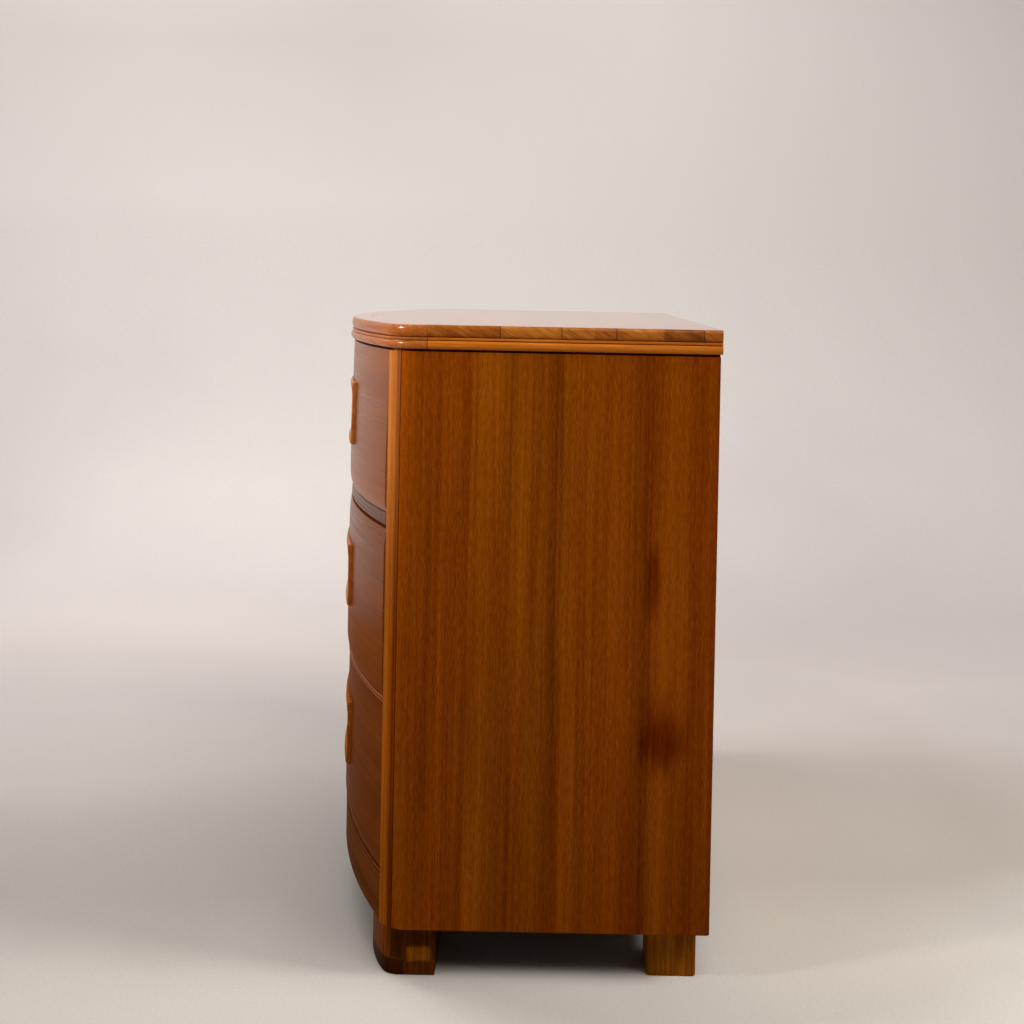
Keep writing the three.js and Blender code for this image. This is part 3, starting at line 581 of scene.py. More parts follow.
# Solid lengths shaped by a cutter: a paler, more orange wood with fine straight lines. The mouldings
# are smooth under a thick coat, which draws a bright line along each nose.
solidLook = {
    "shares": (0.3, 0.4, 0.3), "pores": (6, 0.6), "poreTone": "#7a4a20", "poreShare": 0.3,
}
mouldingLook = {**solidLook, "bump": 0.0}
edgeWood = wood("Walnut-toned edge moulding of the front, gloss lacquer", {
    **mouldingLook, "grain": "x", "bowed": True, "tones": ("#703806", "#984f0b", "#b66c1a"),
    "broad": (260, 34), "streaks": (160, 4), "fibre": (40, 1.2),
    "poreTone": "#8a5a30", "poreShare": 0.1, "roughness": 0.4, "specular": 0.1,
    "coat": 0.42, "coatRoughness": 0.17, "polishedTop": True,
})
sideEdgeWood = wood("Edge blocks of the top, mixed grain, gloss lacquer", {
    **mouldingLook, "grain": "y", "turn": (0.5, 0.0, 0.0), "tones": ("#723b0e", "#a96420", "#cb8e3c"),
    "broad": (60, 20), "streaks": (46, 4), "fibre": (24, 1.4), "pores": (5, 0.6),
    "shares": (0.3, 0.42, 0.28), "poreShare": 0.35, "roughness": 0.4, "specular": 0.0,
    "coat": 0.2, "coatRoughness": 0.16, "polishedTop": True, "tint": blockTones,
})
beadWood = wood("Bead moulding of the side, straight grain, gloss lacquer", {
    **mouldingLook, "grain": "y", "tones": ("#88440d", "#b36318", "#ce8030"),
    "broad": (400, 24), "streaks": (260, 3), "fibre": (50, 1.2),
    "roughness": 0.3, "specular": 0.05, "tint": beadJoint,
})
# Long upright lines, planed and rounded by hand, with a satin sheen near the top
stileWood = wood("Solid corner stile, upright grain, clear lacquer", {
    **solidLook, "grain": "z", "tones": ("#934d14", "#ba6e20", "#db9338"),
    "broad": (700, 18), "streaks": (300, 3), "fibre": (50, 1.1),
    "poreShare": 0.4, "roughness": 0.36, "specular": 0.24, "dull": (0.45, 0.85), "tint": stileShade,
})
# Narrow solid strips in the shade of the drawers above them, so mostly dark and matt
railLook = {
    **solidLook, "grain": "x", "bowed": True,
    "broad": (500, 18), "streaks": (260, 2.5), "fibre": (50, 1.0),
    "poreTone": "#6a3a20", "roughness": 0.36, "dull": (0.3, 0.8),
}
railWoods = {
    "upper": wood("Solid reeded rail, dark brown, clear lacquer", {
        **railLook, "tones": ("#46220c", "#5e3416", "#784824"), "specular": 0.4,
        "tint": paintedLines(railShadowsAndHighlights["upper"]),
    }),
    "lower": wood("Solid lower rail, orange brown, clear lacquer", {
        **railLook, "tones": ("#6a300c", "#8c4814", "#aa6222"), "specular": 0.12,
        "tint": paintedLines(railShadowsAndHighlights["lower"]),
    }),
    "bottom": wood("Solid bottom rail, red brown, clear lacquer", {
        **railLook, "tones": ("#4c1e06", "#6c320c", "#844416"), "specular": 0.06,
        "tint": paintedLines(railShadowsAndHighlights["bottom"]),
    }),
}
# Carved from one block and sanded: soft highlights on the lips, end grain hinted by short streaks
pullWood = wood("Carved pull, straight grain, clear lacquer", {
    **solidLook, "grain": "x", "bowed": True, "tones": ("#7c3e10", "#a85c1e", "#c88238"),
    "broad": (200, 16), "streaks": (140, 3), "fibre": (40, 1.1),
    "roughness": 0.34, "specular": 0.35, "dull": (0.3, 0.85),
})
# Glued up from blocks and worn dull near the floor, so tones change abruptly and nothing shines
footWood = wood("Foot block, upright grain, clear lacquer", {
    "grain": "z", "tones": ("#4c2805", "#82480a", "#ae6e1a"), "shares": (0.36, 0.38, 0.26),
    "broad": (120, 26), "streaks": (90, 5), "fibre": (30, 1.4), "pores": (5, 0.8),
    "poreTone": "#50280c", "poreShare": 0.5, "roughness": 0.4, "specular": 0.015, "tint": gluedBlocks,
})
# Planed and left bare: pale, matt and a little rough to the eye
insideLook = {
    "shares": (0.34, 0.36, 0.3), "poreShare": 0.4,
    "broad": (700, 50), "streaks": (300, 6), "fibre": (50, 1.6), "pores": (8, 0.8),
}
bareLook = {
    **insideLook, "tones": ("#a87f50", "#c39d6a", "#dabb8c"), "poreTone": "#8c6840",
    "roughness": 0.6, "specular": 0.3, "bump": 0.2,
}
insideLevel = wood("Bare hardwood, level grain along the width", {**bareLook, "grain": "x"})
insideDeep = wood("Bare hardwood, grain along the depth", {**bareLook, "grain": "y"})
# Painted shade: the pieces under the case are made nearly black, so that little light bounces beneath it
shadedUnderWood = wood("Hardwood of the underside, painted dark as shade", {
    **insideLook, "grain": "x", "tones": ("#1c1008", "#2a190c", "#382413"),
    "poreTone": "#241408", "roughness": 0.7, "specular": 0.1,
})
# Rotary-cut sheet, sanded: wide wandering figure without shine
plywood = wood("Sanded plywood, unfinished", {
    "grain": "x", "tones": ("#94683c", "#b4885a", "#cca878"), "shares": (0.42, 0.34, 0.24),
    "broad": (500, 90), "streaks": (260, 14), "fibre": (40, 2.0), "pores": (7, 0.9),
    "poreTone": "#7c5830", "poreShare": 0.4, "roughness": 0.65, "specular": 0.25, "bump": 0.2,
})
print("materials made")


# Top: slab, edge ring and bead ring

top = {
    "slabProjection": 2.6, "noseHeight": 7.0, "noseDepth": 4.2, "slabWidth": 30.0,
    "beadProjection": 4.0, "beadNoseDepth": 3.6, "beadWidth": 56.0, "beadTop": 843.1,
    "filletBottom": 844.1, "filletProjection": 2.2, "quirkProjection": 0.4, "noseSteps": 10,
    "beadInner": -38.0, "mouldingArris": 0.35, "longestArris": 0.05, "panelArris": 0.3,
    "straightSteps": 4, "cornerSteps": 20, "bowSteps": 60, "sideSteps": 8,
}


def outlinePath(fromY):
    # From the right side at fromY, round the front, to the left side at the same depth
    half, radius = case["halfWidth"], case["cornerRadius"]
    straightSteps, cornerSteps, bowSteps = top["straightSteps"], top["cornerSteps"], top["bowSteps"]
    path = [(half, fromY - (fromY - cornerY) * i / straightSteps, 1.0, 0.0) for i in range(straightSteps)]
    for i in range(cornerSteps + 1):
        turn = cornerTurn * i / cornerSteps
        path.append((cornerX + radius * math.cos(turn), cornerY + radius * math.sin(turn),
                     math.cos(turn), math.sin(turn)))
    for i in range(1, bowSteps):
        turn = cornerTurn + (-math.pi / 2 - cornerTurn) * i / bowSteps
        path.append((bowRadius * math.cos(turn), bowCentreY + bowRadius * math.sin(turn),
                     math.cos(turn), math.sin(turn)))
    middle = (0.0, bowCentreY - bowRadius, 0.0, -1.0)
    return path + [middle] + [(-x, y, -nx, ny) for x, y, nx, ny in reversed(path)]


def slabSection(inner):
    projection, depth, height = top["slabProjection"], top["noseDepth"], top["noseHeight"]
    lowest, highest = case["slabBottom"], case["height"]
    lower = [
        (projection - depth + depth * math.sin(turn), lowest + height - height * math.cos(turn))
        for turn in quarterTurns(top["noseSteps"])
    ]
    upper = [(out, lowest + highest - z) for out, z in reversed(lower)]
    return [(inner, lowest), *lower, *upper, (inner, highest)]


def beadSection(inner):
    projection, depth = top["beadProjection"], top["beadNoseDepth"]
    lowest, highest, steps = case["beadBottom"], top["beadTop"], 2 * top["noseSteps"]
    middle, half = (lowest + highest) / 2, (highest - lowest) / 2
    turns = [math.pi * (i / steps - 0.5) for i in range(steps + 1)]
    nose = [(projection - depth + depth * math.cos(t), middle + half * math.sin(t)) for t in turns]
    quirk, fillet = top["quirkProjection"], top["filletProjection"]
    return [
        (inner, lowest), *nose, (quirk, highest), (quirk, top["filletBottom"]),
        (fillet, top["filletBottom"]), (fillet, case["slabBottom"]), (inner, case["slabBottom"]),
    ]


def buildTop():
    slabInner = top["slabProjection"] - top["slabWidth"]
    frontPath = outlinePath(case["edgeJointY"])
    startY = case["edgeJointY"] + case["gap"]
    steps = top["sideSteps"]
    sideYs = [startY + (case["backY"] - startY) * i / steps for i in range(steps + 1)]
    sidePath = [(case["halfWidth"], y, 1.0, 0.0) for y in sideYs]
    slab = slabSection(slabInner)
    sideBead = beadSection(top["beadProjection"] - top["beadWidth"])
    for word, section, sideSection, sideMaterial in (
        ("edge", slab, slab, sideEdgeWood), ("bead", beadSection(top["beadInner"]), sideBead, beadWood),
    ):
        front, right = sweptRing(section, frontPath), sweptRing(sideSection, sidePath)
        for bm in (front, right):
            roundArrises(bm, top["mouldingArris"], top["longestArris"])
        makePiece(f"{word}_moulding_front", front, "case", f"top_{word}_front", edgeWood)
        makePair(f"{word}_moulding", right, f"top_{word}", sideMaterial)

    inset = slabInner - case["gap"]
    outline = [(x + nx * inset, y + ny * inset) for x, y, nx, ny in outlinePath(case["backY"])]
    panel = standing([(outline, case["slabBottom"]), (outline, case["height"])])
    roundArrises(panel, top["panelArris"])
    makePiece("top_veneered_panel", panel, "case", "top_panel", topVeneer)


buildTop()
print("top built")


# Case sides: veneered panel and solid stile, with the step under the bead

side = {
    "rabbetDepth": 5.7, "rabbetWidth": 9.0, "cornerSteps": 14, "arris": 0.7, "rearRound": 2.6,
    "reach": 1.0,
}


def stilePlan(radius):
    start = -math.acos((stileFrontX - cornerX) / radius)
    end = math.asin((seamY - cornerY) / radius)
    return [*arc(cornerX, cornerY, radius, start, end, side["cornerSteps"]), (stileFrontX, seamY)]


def panelPlan(radius):
    startY = seamY + case["gap"]
    start = math.asin((startY - cornerY) / radius)
    rearY, rabbetY = case["sideDepth"], case["sideDepth"] - side["rabbetDepth"]
    innerX, rabbetX = case["innerX"], case["innerX"] + side["rabbetWidth"]
    return [
        (innerX, startY), *arc(cornerX, cornerY, radius, start, 0.0, side["cornerSteps"]),
        (cornerX + radius, rearY), (rabbetX, rearY), (rabbetX, rabbetY), (innerX, rabbetY),
    ]


def buildSides():
    lowest = (case["footTop"] + side["reach"]) * mm
    rearmost = planY(case["sideDepth"] - side["reach"])
    for name, node, plan, slotName, material in (
        ("side_veneered_board", "side_panel", panelPlan, "case_veneer", sideVeneer),
        ("corner_solid_post", "corner_stile", stilePlan, "solid_edge", stileWood),
    ):
        outer = plan(case["cornerRadius"])
        inner = plan(case["cornerRadius"] - case["shadowDepth"])
        right = standing([
            (outer, case["footTop"]), (outer, case["caseTop"]),
            (inner, case["caseTop"]), (inner, case["beadBottom"]),
        ])
        rearBottom = [
            edge for edge in right.edges if all(v.co.z < lowest and v.co.y > rearmost for v in edge.verts)
        ]
        bevelEdges(right, rearBottom, side["rearRound"], finish["softSegments"])
        roundArrises(right, side["arris"])
        makePair(name, right, node, material)


buildSides()
print("sides built")


# Rails and apron

rails = {
    "setback": 1.4, "depth": 50.0, "arris": 1.2, "reedDepth": 0.9, "reedCount": 3,
    "upper": (593.0, 610.4), "lower": (354.4, 363.8), "bottom": (122.0, 132.0),
    "apronSetback": 1.9, "apronThickness": 19.0, "arrisSteps": 4, "reedEdge": 0.5, "reedEdgeDepth": 0.25,
}


def lowerArris(face, bottom):
    # Quarter round from under the board to its face
    arris, turns = rails["arris"], quarterTurns(rails["arrisSteps"])
    return [(face - arris * (1 - math.sin(t)), bottom + arris * (1 - math.cos(t))) for t in turns]


def plainRail(bottom, highest):
    face, back = -rails["setback"], -rails["setback"] - rails["depth"]
    lower = lowerArris(face, bottom)
    upper = [(out, bottom + highest - z) for out, z in reversed(lower)]
    return [(back, bottom), *lower, *upper, (back, highest)]


def reededRail(bottom, highest):
    face, back = -rails["setback"], -rails["setback"] - rails["depth"]
    arris, deep, count = rails["arris"], rails["reedDepth"], rails["reedCount"]
    edge, edgeDepth = rails["reedEdge"], rails["reedEdgeDepth"]
    pitch = (highest - bottom - 2 * arris) / count
    section = [(back, bottom), (face - arris, bottom)]
    for reed in range(count):
        low = bottom + arris + reed * pitch
        high = low + pitch - deep
        out = face - reed / count * deep
        section += [
            (out - edgeDepth, low), (out, low + edge), (out, high - edge), (out - edgeDepth, high),
            (out - deep, high + deep / 2),
        ]
    section += [(face - arris - deep, highest), (back, highest)]
    return section


def buildRails():
    endX = stileFrontX - case["gap"]
    for word, section in (("upper", reededRail), ("lower", plainRail), ("bottom", plainRail)):
        rail = bowedBoard(section(*rails[word]), endX)
        makePiece(f"bowed_rail_{word}", rail, "case", f"front_rail_{word}", railWoods[word])
    face = -rails["apronSetback"]
    back = face - rails["apronThickness"]
    low, high = case["footTop"], rails["bottom"][0]
    apron = bowedBoard([(back, low), *lowerArris(face, low), (face, high), (back, high)], endX)
    makePiece("bowed_apron", apron, "case", "apron", shadedApronVeneer)


buildRails()
print("rails built")


# Feet

feet = {
    "frontOuter": 446.0, "backY": 64.5, "length": 118.0, "cornerRadius": 27.0, "frontRadius": 210.0,
    "innerRadius": 10.0, "apexDrop": 29.0, "arris": 2.0,
    "rearOuter": 435.5, "rearWidth": 68.0, "rearBackY": 412.0, "rearDepth": 66.0, "rearRadius": 5.0,
    "innerSteps": 6, "frontSteps": 20, "cornerSteps": 14, "rearSteps": 6, "levelWithin": 1e-6,
}


def frontFootPlan():
    outer = feet["frontOuter"]
    inner = outer - feet["length"]
    apexX = inner + feet["innerRadius"]
    arcCentreY = feet["frontRadius"] - feet["apexDrop"]
    filletX = outer - feet["cornerRadius"]
    reach = feet["frontRadius"] - feet["cornerRadius"]
    filletY = arcCentreY - math.sqrt(reach**2 - (filletX - apexX) ** 2)
    turn = math.atan2(filletY - arcCentreY, filletX - apexX)
    small, smallY = feet["innerRadius"], feet["innerRadius"] - feet["apexDrop"]
    return [
        (outer, feet["backY"]), (inner, feet["backY"]),
        *arc(apexX, smallY, small, math.pi, 1.5 * math.pi, feet["innerSteps"]),
        *arc(apexX, arcCentreY, feet["frontRadius"], -math.pi / 2, turn, feet["frontSteps"])[1:],
        *arc(filletX, filletY, feet["cornerRadius"], turn, 0.0, feet["cornerSteps"])[1:],
    ]


def rearFootPlan():
    outer, inner = feet["rearOuter"], feet["rearOuter"] - feet["rearWidth"]
    rear, front, r = feet["rearBackY"], feet["rearBackY"] - feet["rearDepth"], feet["rearRadius"]
    corners = ((outer - r, rear - r), (inner + r, rear - r), (inner + r, front + r), (outer - r, front + r))
    quarter = math.pi / 2
    plan = []
    for i, (x, y) in enumerate(corners):
        plan += arc(x, y, r, quarter * i, quarter * (i + 1), feet["rearSteps"])
    return plan


def buildFeet():
    for word, plan in (("front", frontFootPlan()), ("rear", rearFootPlan())):
        right = standing([(plan, 0.0), (plan, case["footTop"])])
        within = feet["levelWithin"]
        flat = [edge for edge in right.edges if abs(edge.verts[0].co.z - edge.verts[1].co.z) < within]
        bevelEdges(right, flat, feet["arris"], finish["softSegments"])
        makePair(f"{word}_block_foot", right, f"{word}_foot", footWood)


buildFeet()
print("feet built")


# Drawers: bowed fronts, with sockets for the dovetails, and carved pulls

drawer = {
    "proud": 1.6, "bottomDrop": 3.4, "bottomReach": 17.0,
    "thickness": 20.0, "frontGap": 1.2, "sideThickness": 12.0, "boxTopDrop": 22.0, "slideGap": 0.5,
    "tailCount": 6, "tailDepth": 13.0, "tailNeckShare": 0.5, "tailEndShare": 0.72,
    "arris": 0.5, "lowerSteps": 8, "leanSteps": 12, "cutPastEnd": 20.0, "cutPastBack": 2.0,
}
drawerLevels = {
    "top_drawer": (611.6, 828.6, 610.4), "middle_drawer": (365.0, 589.0, 363.8),
    "bottom_drawer": (133.2, 353.2, 132.0),
}
boxHalfWidth = stileFrontX - drawer["frontGap"]
boxInnerX = boxHalfWidth - drawer["sideThickness"]
faceBack = drawer["proud"] - drawer["thickness"]


# How each face sits: setback, drop of its top edge, height over which it leans back, and the power
# of that curve
drawerFaces = {
    "top_drawer": (0.0, 2.8, 160.0, 1), "middle_drawer": (0.0, 2.8, 34.0, 2),
    "bottom_drawer": (1.6, 2.4, 200.0, 1),
}


def faceProud(name, z):
    setback, drop, reach, power = drawerFaces[name]
    share = max(0.0, (z - drawerLevels[name][1] + reach) / reach)
    return drawer["proud"] - setback - drop * share**power


def faceSection(name, bottom, highest):
    reach, steps, leanSteps = drawerFaces[name][2], drawer["lowerSteps"], drawer["leanSteps"]
    face = faceProud(name, bottom)
    lower = [
        (face - drawer["bottomDrop"] * (1 - i / steps) ** 2, bottom + drawer["bottomReach"] * i / steps)
        for i in range(steps + 1)
    ]
    heights = [highest - reach * (1 - i / leanSteps) for i in range(leanSteps + 1)]
    upper = [(faceProud(name, z), z) for z in heights]
    return [(faceBack, bottom), *lower, *upper, (faceBack, highest)]


def socketCutter(bottom, highest):
    # One wedge for each dovetail, at both ends of the front
    pitch = (highest - bottom) / drawer["tailCount"]
    neck = pitch * drawer["tailNeckShare"] / 2 + case["gap"]
    end = pitch * drawer["tailEndShare"] / 2 + case["gap"]
    inner, outer = boxInnerX - case["gap"], boxHalfWidth + drawer["cutPastEnd"]
    neckY = bowY(boxHalfWidth, faceBack) + drawer["cutPastBack"]
    socketEnd = faceBack + drawer["tailDepth"]
    endIn, endOut = bowY(inner, socketEnd), bowY(boxHalfWidth, socketEnd)
    deep = neckY - bowY(boxInnerX, socketEnd)
    bm = bmesh.new()
    for tail in range(drawer["tailCount"]):
        middle = bottom + pitch * (tail + 0.5)
        for sign in (1, -1):
            rows = []
            for x, frontY in ((inner, endIn), (boxHalfWidth, endOut), (outer, endOut)):
                wide = end - (end - neck) * (frontY - endIn) / deep
                rows.append([
                    place(sign * x, frontY, middle - wide), place(sign * x, neckY, middle - neck),
                    place(sign * x, neckY, middle + neck), place(sign * x, frontY, middle + wide),
                ])
            loft(bm, rows)
    bmesh.ops.recalc_face_normals(bm, faces=bm.faces)
    return bm


def cutAway(bm, cutterBm):
    board, cutter = asObject("board", bm), asObject("cutter", cutterBm)
    cut = board.modifiers.new("cut", "BOOLEAN")
    cut.operation = "DIFFERENCE"
    cut.solver = "EXACT"
    cut.object = cutter
    bpy.context.view_layer.update()
    result = bmesh.new()
    result.from_mesh(board.evaluated_get(bpy.context.evaluated_depsgraph_get()).to_mesh())
    for scrap in (board, cutter):
        bpy.data.objects.remove(scrap)
    return result


pull = {
    "centreX": 142.0, "length": 196.0, "raise": 7.8, "topRaise": 3.4, "height": 91.0,
    "innerRise": 2.2, "outerRise": 6.9, "riseStart": -60.0, "seat": 7.0, "floor": 2.0, "lip": 9.0,
    "slope": 9.5, "endHollow": 0.1, "endWall": 6.0, "endSlope": 22.0, "tipRound": 1.6, "tipLength": 3.0,
    "shoulderShare": 0.86, "edgeShare": 0.5, "roundings": 3, "tipSteps": 6, "slopeSteps": 8,
    "hollowSteps": 14, "riseCurve": 1.5, "housingReach": 20.0, "tiltSpan": 40.0,
}


def pullSection(halfHeight, rise, hollow):
    mouth = halfHeight - pull["lip"]
    foot = mouth - pull["slope"]
    floor = rise - (rise + pull["seat"] - pull["floor"]) * hollow
    tipRound = pull["tipRound"]
    upper = [
        (floor, 0.0), (floor, foot), ((floor + rise) / 2, (foot + mouth) / 2), (rise, mouth),
        (rise, halfHeight - 2 * tipRound), (rise * pull["shoulderShare"], halfHeight - tipRound / 2),
        (rise * pull["edgeShare"], halfHeight), (0.0, halfHeight),
    ]
    upper = [*smoothed(upper, pull["roundings"]), (-pull["seat"], halfHeight)]
    return [(out, -z) for out, z in reversed(upper)] + upper[1:]


def pullPlaces(end):
    half = pull["length"] / 2
    wallEnd = half - pull["endWall"]
    slopeEnd = wallEnd - pull["endSlope"]
    slopeSteps, steps, turns = pull["slopeSteps"], pull["hollowSteps"], quarterTurns(pull["tipSteps"])[1:]
    places = [end, *[half - pull["tipLength"] * (1 - math.cos(turn)) for turn in turns], wallEnd]
    places += [wallEnd - pull["endSlope"] * i / slopeSteps for i in range(1, slopeSteps + 1)]
    places += [slopeEnd * (1 - i / steps) for i in range(1, steps)]
    return [-p for p in places] + [0.0] + places[::-1]


def tipCut(along):
    start = pull["length"] / 2 - pull["tipLength"]
    share = clamped((abs(along) - start) / pull["tipLength"])
    return pull["tipRound"] * (1 - math.sqrt(1 - share**2))


def alongPull(places, sectionAt):
    faceRadius = bowRadius + drawer["proud"]
    rings = []
    for along in places:
        face = faceRadius - math.sqrt(faceRadius**2 - along**2)
        rings.append([Vector((along, face - out, z)) * mm for out, z in sectionAt(along)])
    return skin(rings)


def carvedSection(along, sign):
    # the pull stands further out of the face towards the side of the chest
    half = pull["length"] / 2
    tip = tipCut(along)
    share = clamped((along * sign - pull["riseStart"]) / (half - pull["riseStart"]))
    rise = pull["innerRise"] + (pull["outerRise"] - pull["innerRise"]) * share ** pull["riseCurve"] - tip
    opening = clamped((half - pull["endWall"] - abs(along)) / pull["endSlope"])
    opening = opening**2 * (3 - 2 * opening)
    hollow = pull["endHollow"] + (1 - pull["endHollow"]) * opening
    return pullSection(pull["height"] / 2 - tip, rise, hollow)


def housingSection(along):
    edge = pull["height"] / 2 + case["gap"] - tipCut(along)
    floor, out = -pull["seat"] - case["gap"], pull["housingReach"]
    return [(floor, -edge), (out, -edge), (out, edge), (floor, edge)]


def seated(bm, sign, name, middle):
    # Moves a pull or its housing from its own middle to its place on the drawer face
    radius = bowRadius + faceProud(name, middle)
    turn = math.asin(pull["centreX"] / radius)
    span = pull["tiltSpan"]
    tilt = math.atan((faceProud(name, middle - span) - faceProud(name, middle + span)) / (2 * span))
    seat = place(radius * math.sin(turn) * sign, bowCentreY - radius * math.cos(turn), middle)
    turned = Matrix.Rotation(turn * sign, 4, "Z") @ Matrix.Rotation(-tilt, 4, "X")
    bmesh.ops.transform(bm, matrix=Matrix.Translation(seat) @ turned, verts=bm.verts)
    return bm


def buildDrawers():
    for name, (bottom, highest, railTop) in drawerLevels.items():
        middle = (bottom + highest) / 2 + pull["topRaise" if name == "top_drawer" else "raise"]
        board = bowedBoard(faceSection(name, bottom, highest), boxHalfWidth)
        roundArrises(board, drawer["arris"])
        board = cutAway(board, socketCutter(railTop + drawer["slideGap"], highest - drawer["boxTopDrop"]))
        for sign in (1, -1):
            housing = alongPull(pullPlaces(pull["length"] / 2 + case["gap"]), housingSection)
            board = cutAway(board, seated(housing, sign, name, middle))
        makePiece(f"{name}_bowed_face", board, name, f"{name}_front", frontVeneer)
        for word, sign in (("right", 1), ("left", -1)):
            carved = alongPull(pullPlaces(pull["length"] / 2), lambda along: carvedSection(along, sign))
            makePiece(
                f"{name}_carved_pull_{word}", seated(carved, sign, name, middle), name,
                f"{name}_pull_{word}", pullWood, weighted=False,
            )


buildDrawers()
print("drawers built")


# Inside pieces keep their CAD shape and get their finish

def finishInside():
    for name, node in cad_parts.items():
        if node.hide_render:
            continue
        # the pieces underneath take the wood painted dark as shade
        if name == "dust_panel_bottom":
            material = shadedUnderWood
        elif name.startswith("dust_panel") or name == "back_panel" or name.endswith("_drawer_bottom"):
            material = plywood
        elif "_side_" in name or name.endswith("_guide") or name.startswith("drawer_track"):
            material = insideDeep
        elif "foot_block" in name or name == "web_frame_bottom":
            material = shadedUnderWood
        else:
            material = insideLevel
        node.data.materials.clear()
        node.data.materials.append(material)


finishInside()
print("inside finished")


# Stage: a pale floor that sweeps up into a backdrop, lamps, world and camera. Metres throughout.

stage = {
    "bendRadius": 1.1, "wallX": -2.6, "wallHeight": 3.6, "halfWidth": 5.5, "nearX": 4.5, "bendSteps": 24,
    "facing": 0.01,
}
paper = {
    "mottle": (1600, 1200, 900), "mottleReach": 0.25, "depths": (-3.0, 1.5),
    # painted light and shade: darker from the bend across the floor to under the chest, lighter up the wall
    # and in front
    "tones": (
        (0.0, "#eeeae7"), (0.13, "#ebe7e4"), (0.3, "#dad4d2"), (0.45, "#d0cac7"), (0.54, "#d6d2cf"),
        (0.62, "#dcd9d5"), (0.68, "#d2cfca"), (0.76, "#cecbc5"), (0.8, "#dedbd5"), (1.0, "#e4e1dc"),
    ),
    # painted shade: a faint darker band behind the chest on its back side
    "band": ((0.46, 0.0), (0.56, 0.8), (0.62, 1.0), (0.68, 0.8), (0.74, 0.0)),
    "shadeBandDepths": (0.0, 0.8), "shadeBandTone": "#d4d0cd",
    # and painted shade high up on its front side, where its lamp is nearest, evens out that lamp's light
    "highShadeHeights": (1.2, 1.75), "highShadeDepths": (0.4, -0.6), "highShadeTone": "#e8e7e6",
    "grit": (5, 5, 5), "gritShare": 0.08, "gritTone": "#9c948c",
}


def paperMaterial():
    material, tree = startMaterial("Pale seamless paper, matt")
    coordinates = addNode(tree, "TexCoord")["Object"]
    parts = addNode(tree, "SeparateXYZ", [coordinates])
    reach = paper["mottleReach"]
    mottle = clouds(tree, coordinates, paper["mottle"], 3, -reach, reach)
    depth = addNode(tree, "Math", [parts["X"], mottle], **plus)[0]
    # painted light and shade along the sweep
    near = addNode(tree, "MapRange", [depth, *paper["depths"]])[0]
    tone = addNode(tree, "ValToRGB", [near], paper["tones"])[0]
    band = addNode(tree, "ValToRGB", [near], paper["band"])[0]
    behind = addNode(tree, "MapRange", [parts["Y"], *paper["shadeBandDepths"]])[0]
    band = addNode(tree, "Math", [band, behind], **times)[0]
    tone = addNode(tree, "Mix", {0: band, 6: tone, 7: paper["shadeBandTone"]}, **multiply)[2]
    upwards = addNode(tree, "MapRange", [parts["Z"], *paper["highShadeHeights"]])[0]
    forwards = addNode(tree, "MapRange", [parts["Y"], *paper["highShadeDepths"]])[0]
    high = addNode(tree, "Math", [upwards, forwards], **times)[0]
    tone = addNode(tree, "Mix", {0: high, 6: tone, 7: paper["highShadeTone"]}, **multiply)[2]
    grit = clouds(tree, coordinates, paper["grit"], 2, 0.0, paper["gritShare"])
    tone = addNode(tree, "Mix", {0: grit, 6: tone, 7: paper["gritTone"]}, **multiply)[2]
    shader = addNode(tree, "BsdfPrincipled", {
        "Base Color": tone, "Roughness": 0.9, "Specular IOR Level": 0.1,
    })[0]
    addNode(tree, "OutputMaterial", [shader])
    return material


def buildStage():
    radius, wallX, half, steps = [stage[key] for key in ("bendRadius", "wallX", "halfWidth", "bendSteps")]
    turns = quarterTurns(steps)[1:]
    bend = [(wallX + radius - radius * math.sin(turn), radius - radius * math.cos(turn)) for turn in turns]
    profile = [(stage["nearX"], 0.0), (wallX + radius, 0.0), *bend, (wallX, stage["wallHeight"])]
    bm = bmesh.new()
    rows = [[(x, y, z) for y in (-half, half)] for x, z in profile]
    row = [bm.verts.new(point) for point in rows[0]]
    bm.edges.new(row)
    for points in rows[1:]:
        row = extendTo(bm, row, points, closed=False)
    bmesh.ops.recalc_face_normals(bm, faces=bm.faces)
    for face in bm.faces:
        # the floor faces up and the wall faces the camera
        upwards = face.normal.z
        if upwards < -stage["facing"] or (abs(upwards) < stage["facing"] and face.normal.x < 0):
            face.normal_flip()
    sweep = asObject("paper_sweep", bm)
    sweep.data.shade_smooth()
    sweep.data.materials.append(paperMaterial())


# place, point aimed at, width and height, watts, colour and spread in degrees of each lamp
lamps = {
    "front key with grid": ((0.99, -1.28, 1.35), (0.4, -0.2, 0.85), (0.2, 0.2), 1.7, "#fff4e8", 52),
    "right softbox": ((0.7, 2.5, 2.3), (0.1, 0.0, 0.3), (1.0, 1.0), 64, "#fffaf6", 180),
    "front right softbox": ((1.7, 2.1, 2.2), (0.3, 0.0, 0.3), (0.8, 0.8), 8, "#fffaf6", 180),
    "camera side softbox": ((1.4, 0.45, 2.3), (0.5, 0.1, 0.3), (0.9, 0.9), 16, "#fff8f2", 180),
    "left floor wash": ((-1.3, -2.0, 1.8), (-1.0, -0.6, 0.0), (0.6, 0.6), 4, "#fffaf6", 90),
    "backdrop wash": ((-0.5, -1.6, 3.2), (-2.5, -1.2, 1.15), (2.6, 0.8), 68, "#fffbf8", 180),
}
studio = {"ambientTone": "#f4ece4", "ambient": 0.06, "shownTone": "#dcd3cd", "shown": 1.0}


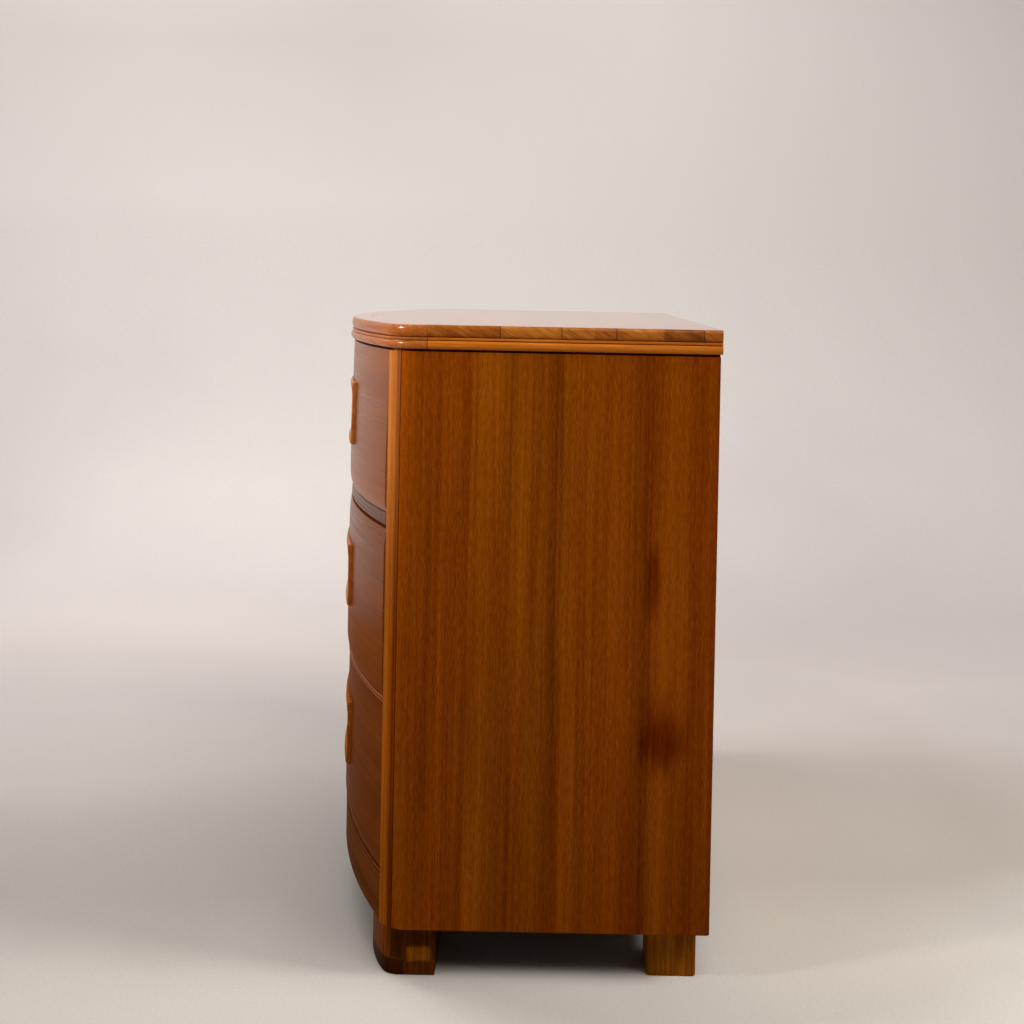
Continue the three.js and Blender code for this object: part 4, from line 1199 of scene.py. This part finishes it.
def addLamp(name, where, aim, size, power, tint, spread):
    light = bpy.data.lights.new(name, "AREA")
    light.spread = math.radians(spread)
    light.shape = "RECTANGLE"
    light.size, light.size_y = size
    light.energy = power
    light.color = colour(tint)[:3]
    lamp = bpy.data.objects.new(name, light)
    bpy.context.scene.collection.objects.link(lamp)
    lamp.location = where
    lamp.rotation_mode = "QUATERNION"
    lamp.rotation_quaternion = (Vector(aim) - Vector(where)).to_track_quat("-Z", "Y")
    lamp.visible_camera = False


def buildLight():
    for name, settings in lamps.items():
        addLamp(name, *settings)
    world = bpy.data.worlds.new("studio")
    bpy.context.scene.world = world
    world.use_nodes = True
    tree = world.node_tree
    tree.nodes.clear()
    # the camera, gloss and glass see the pale studio, and the chest is lit by a faint ambient
    path = addNode(tree, "LightPath")
    seen = addNode(tree, "Math", [path["Is Camera Ray"], path["Is Glossy Ray"]], operation="MAXIMUM")[0]
    seen = addNode(tree, "Math", [seen, path["Is Transmission Ray"]], operation="MAXIMUM")[0]
    ambient = addNode(tree, "Background", [studio["ambientTone"], studio["ambient"]])[0]
    shown = addNode(tree, "Background", [studio["shownTone"], studio["shown"]])[0]
    mixed = addNode(tree, "MixShader", [seen, ambient, shown])[0]
    addNode(tree, "OutputWorld", [mixed])


# Fitted to the edges of the chest in the photograph; the shift keeps the uprights nearly upright
cameraFit = {
    "lens": 48.294, "sensor": 36.0, "shift": (-0.03384, -0.21382), "clip": (0.05, 50.0),
    "place": (2.2592, 0.03852, 0.92705), "pitch": 0.0103, "roll": 0.0196,
}


def buildCamera():
    data = bpy.data.cameras.new("camera")
    data.sensor_width = cameraFit["sensor"]
    data.lens = cameraFit["lens"]
    data.shift_x, data.shift_y = cameraFit["shift"]
    data.clip_start, data.clip_end = cameraFit["clip"]
    camera = bpy.data.objects.new("camera", data)
    bpy.context.scene.collection.objects.link(camera)
    pitch, roll = cameraFit["pitch"], cameraFit["roll"]
    forward = Vector((-math.cos(pitch), 0.0, -math.sin(pitch)))
    level = Vector((0.0, 1.0, 0.0))
    upright = Vector((-math.sin(pitch), 0.0, math.cos(pitch)))
    right = level * math.cos(roll) + upright * math.sin(roll)
    up = upright * math.cos(roll) - level * math.sin(roll)
    turned = Matrix((right, up, -forward)).transposed().to_4x4()
    camera.matrix_world = Matrix.Translation(cameraFit["place"]) @ turned
    bpy.context.scene.camera = camera


buildStage()
buildLight()
buildCamera()
bpy.context.scene.view_settings.view_transform = "Standard"
print("stage built")
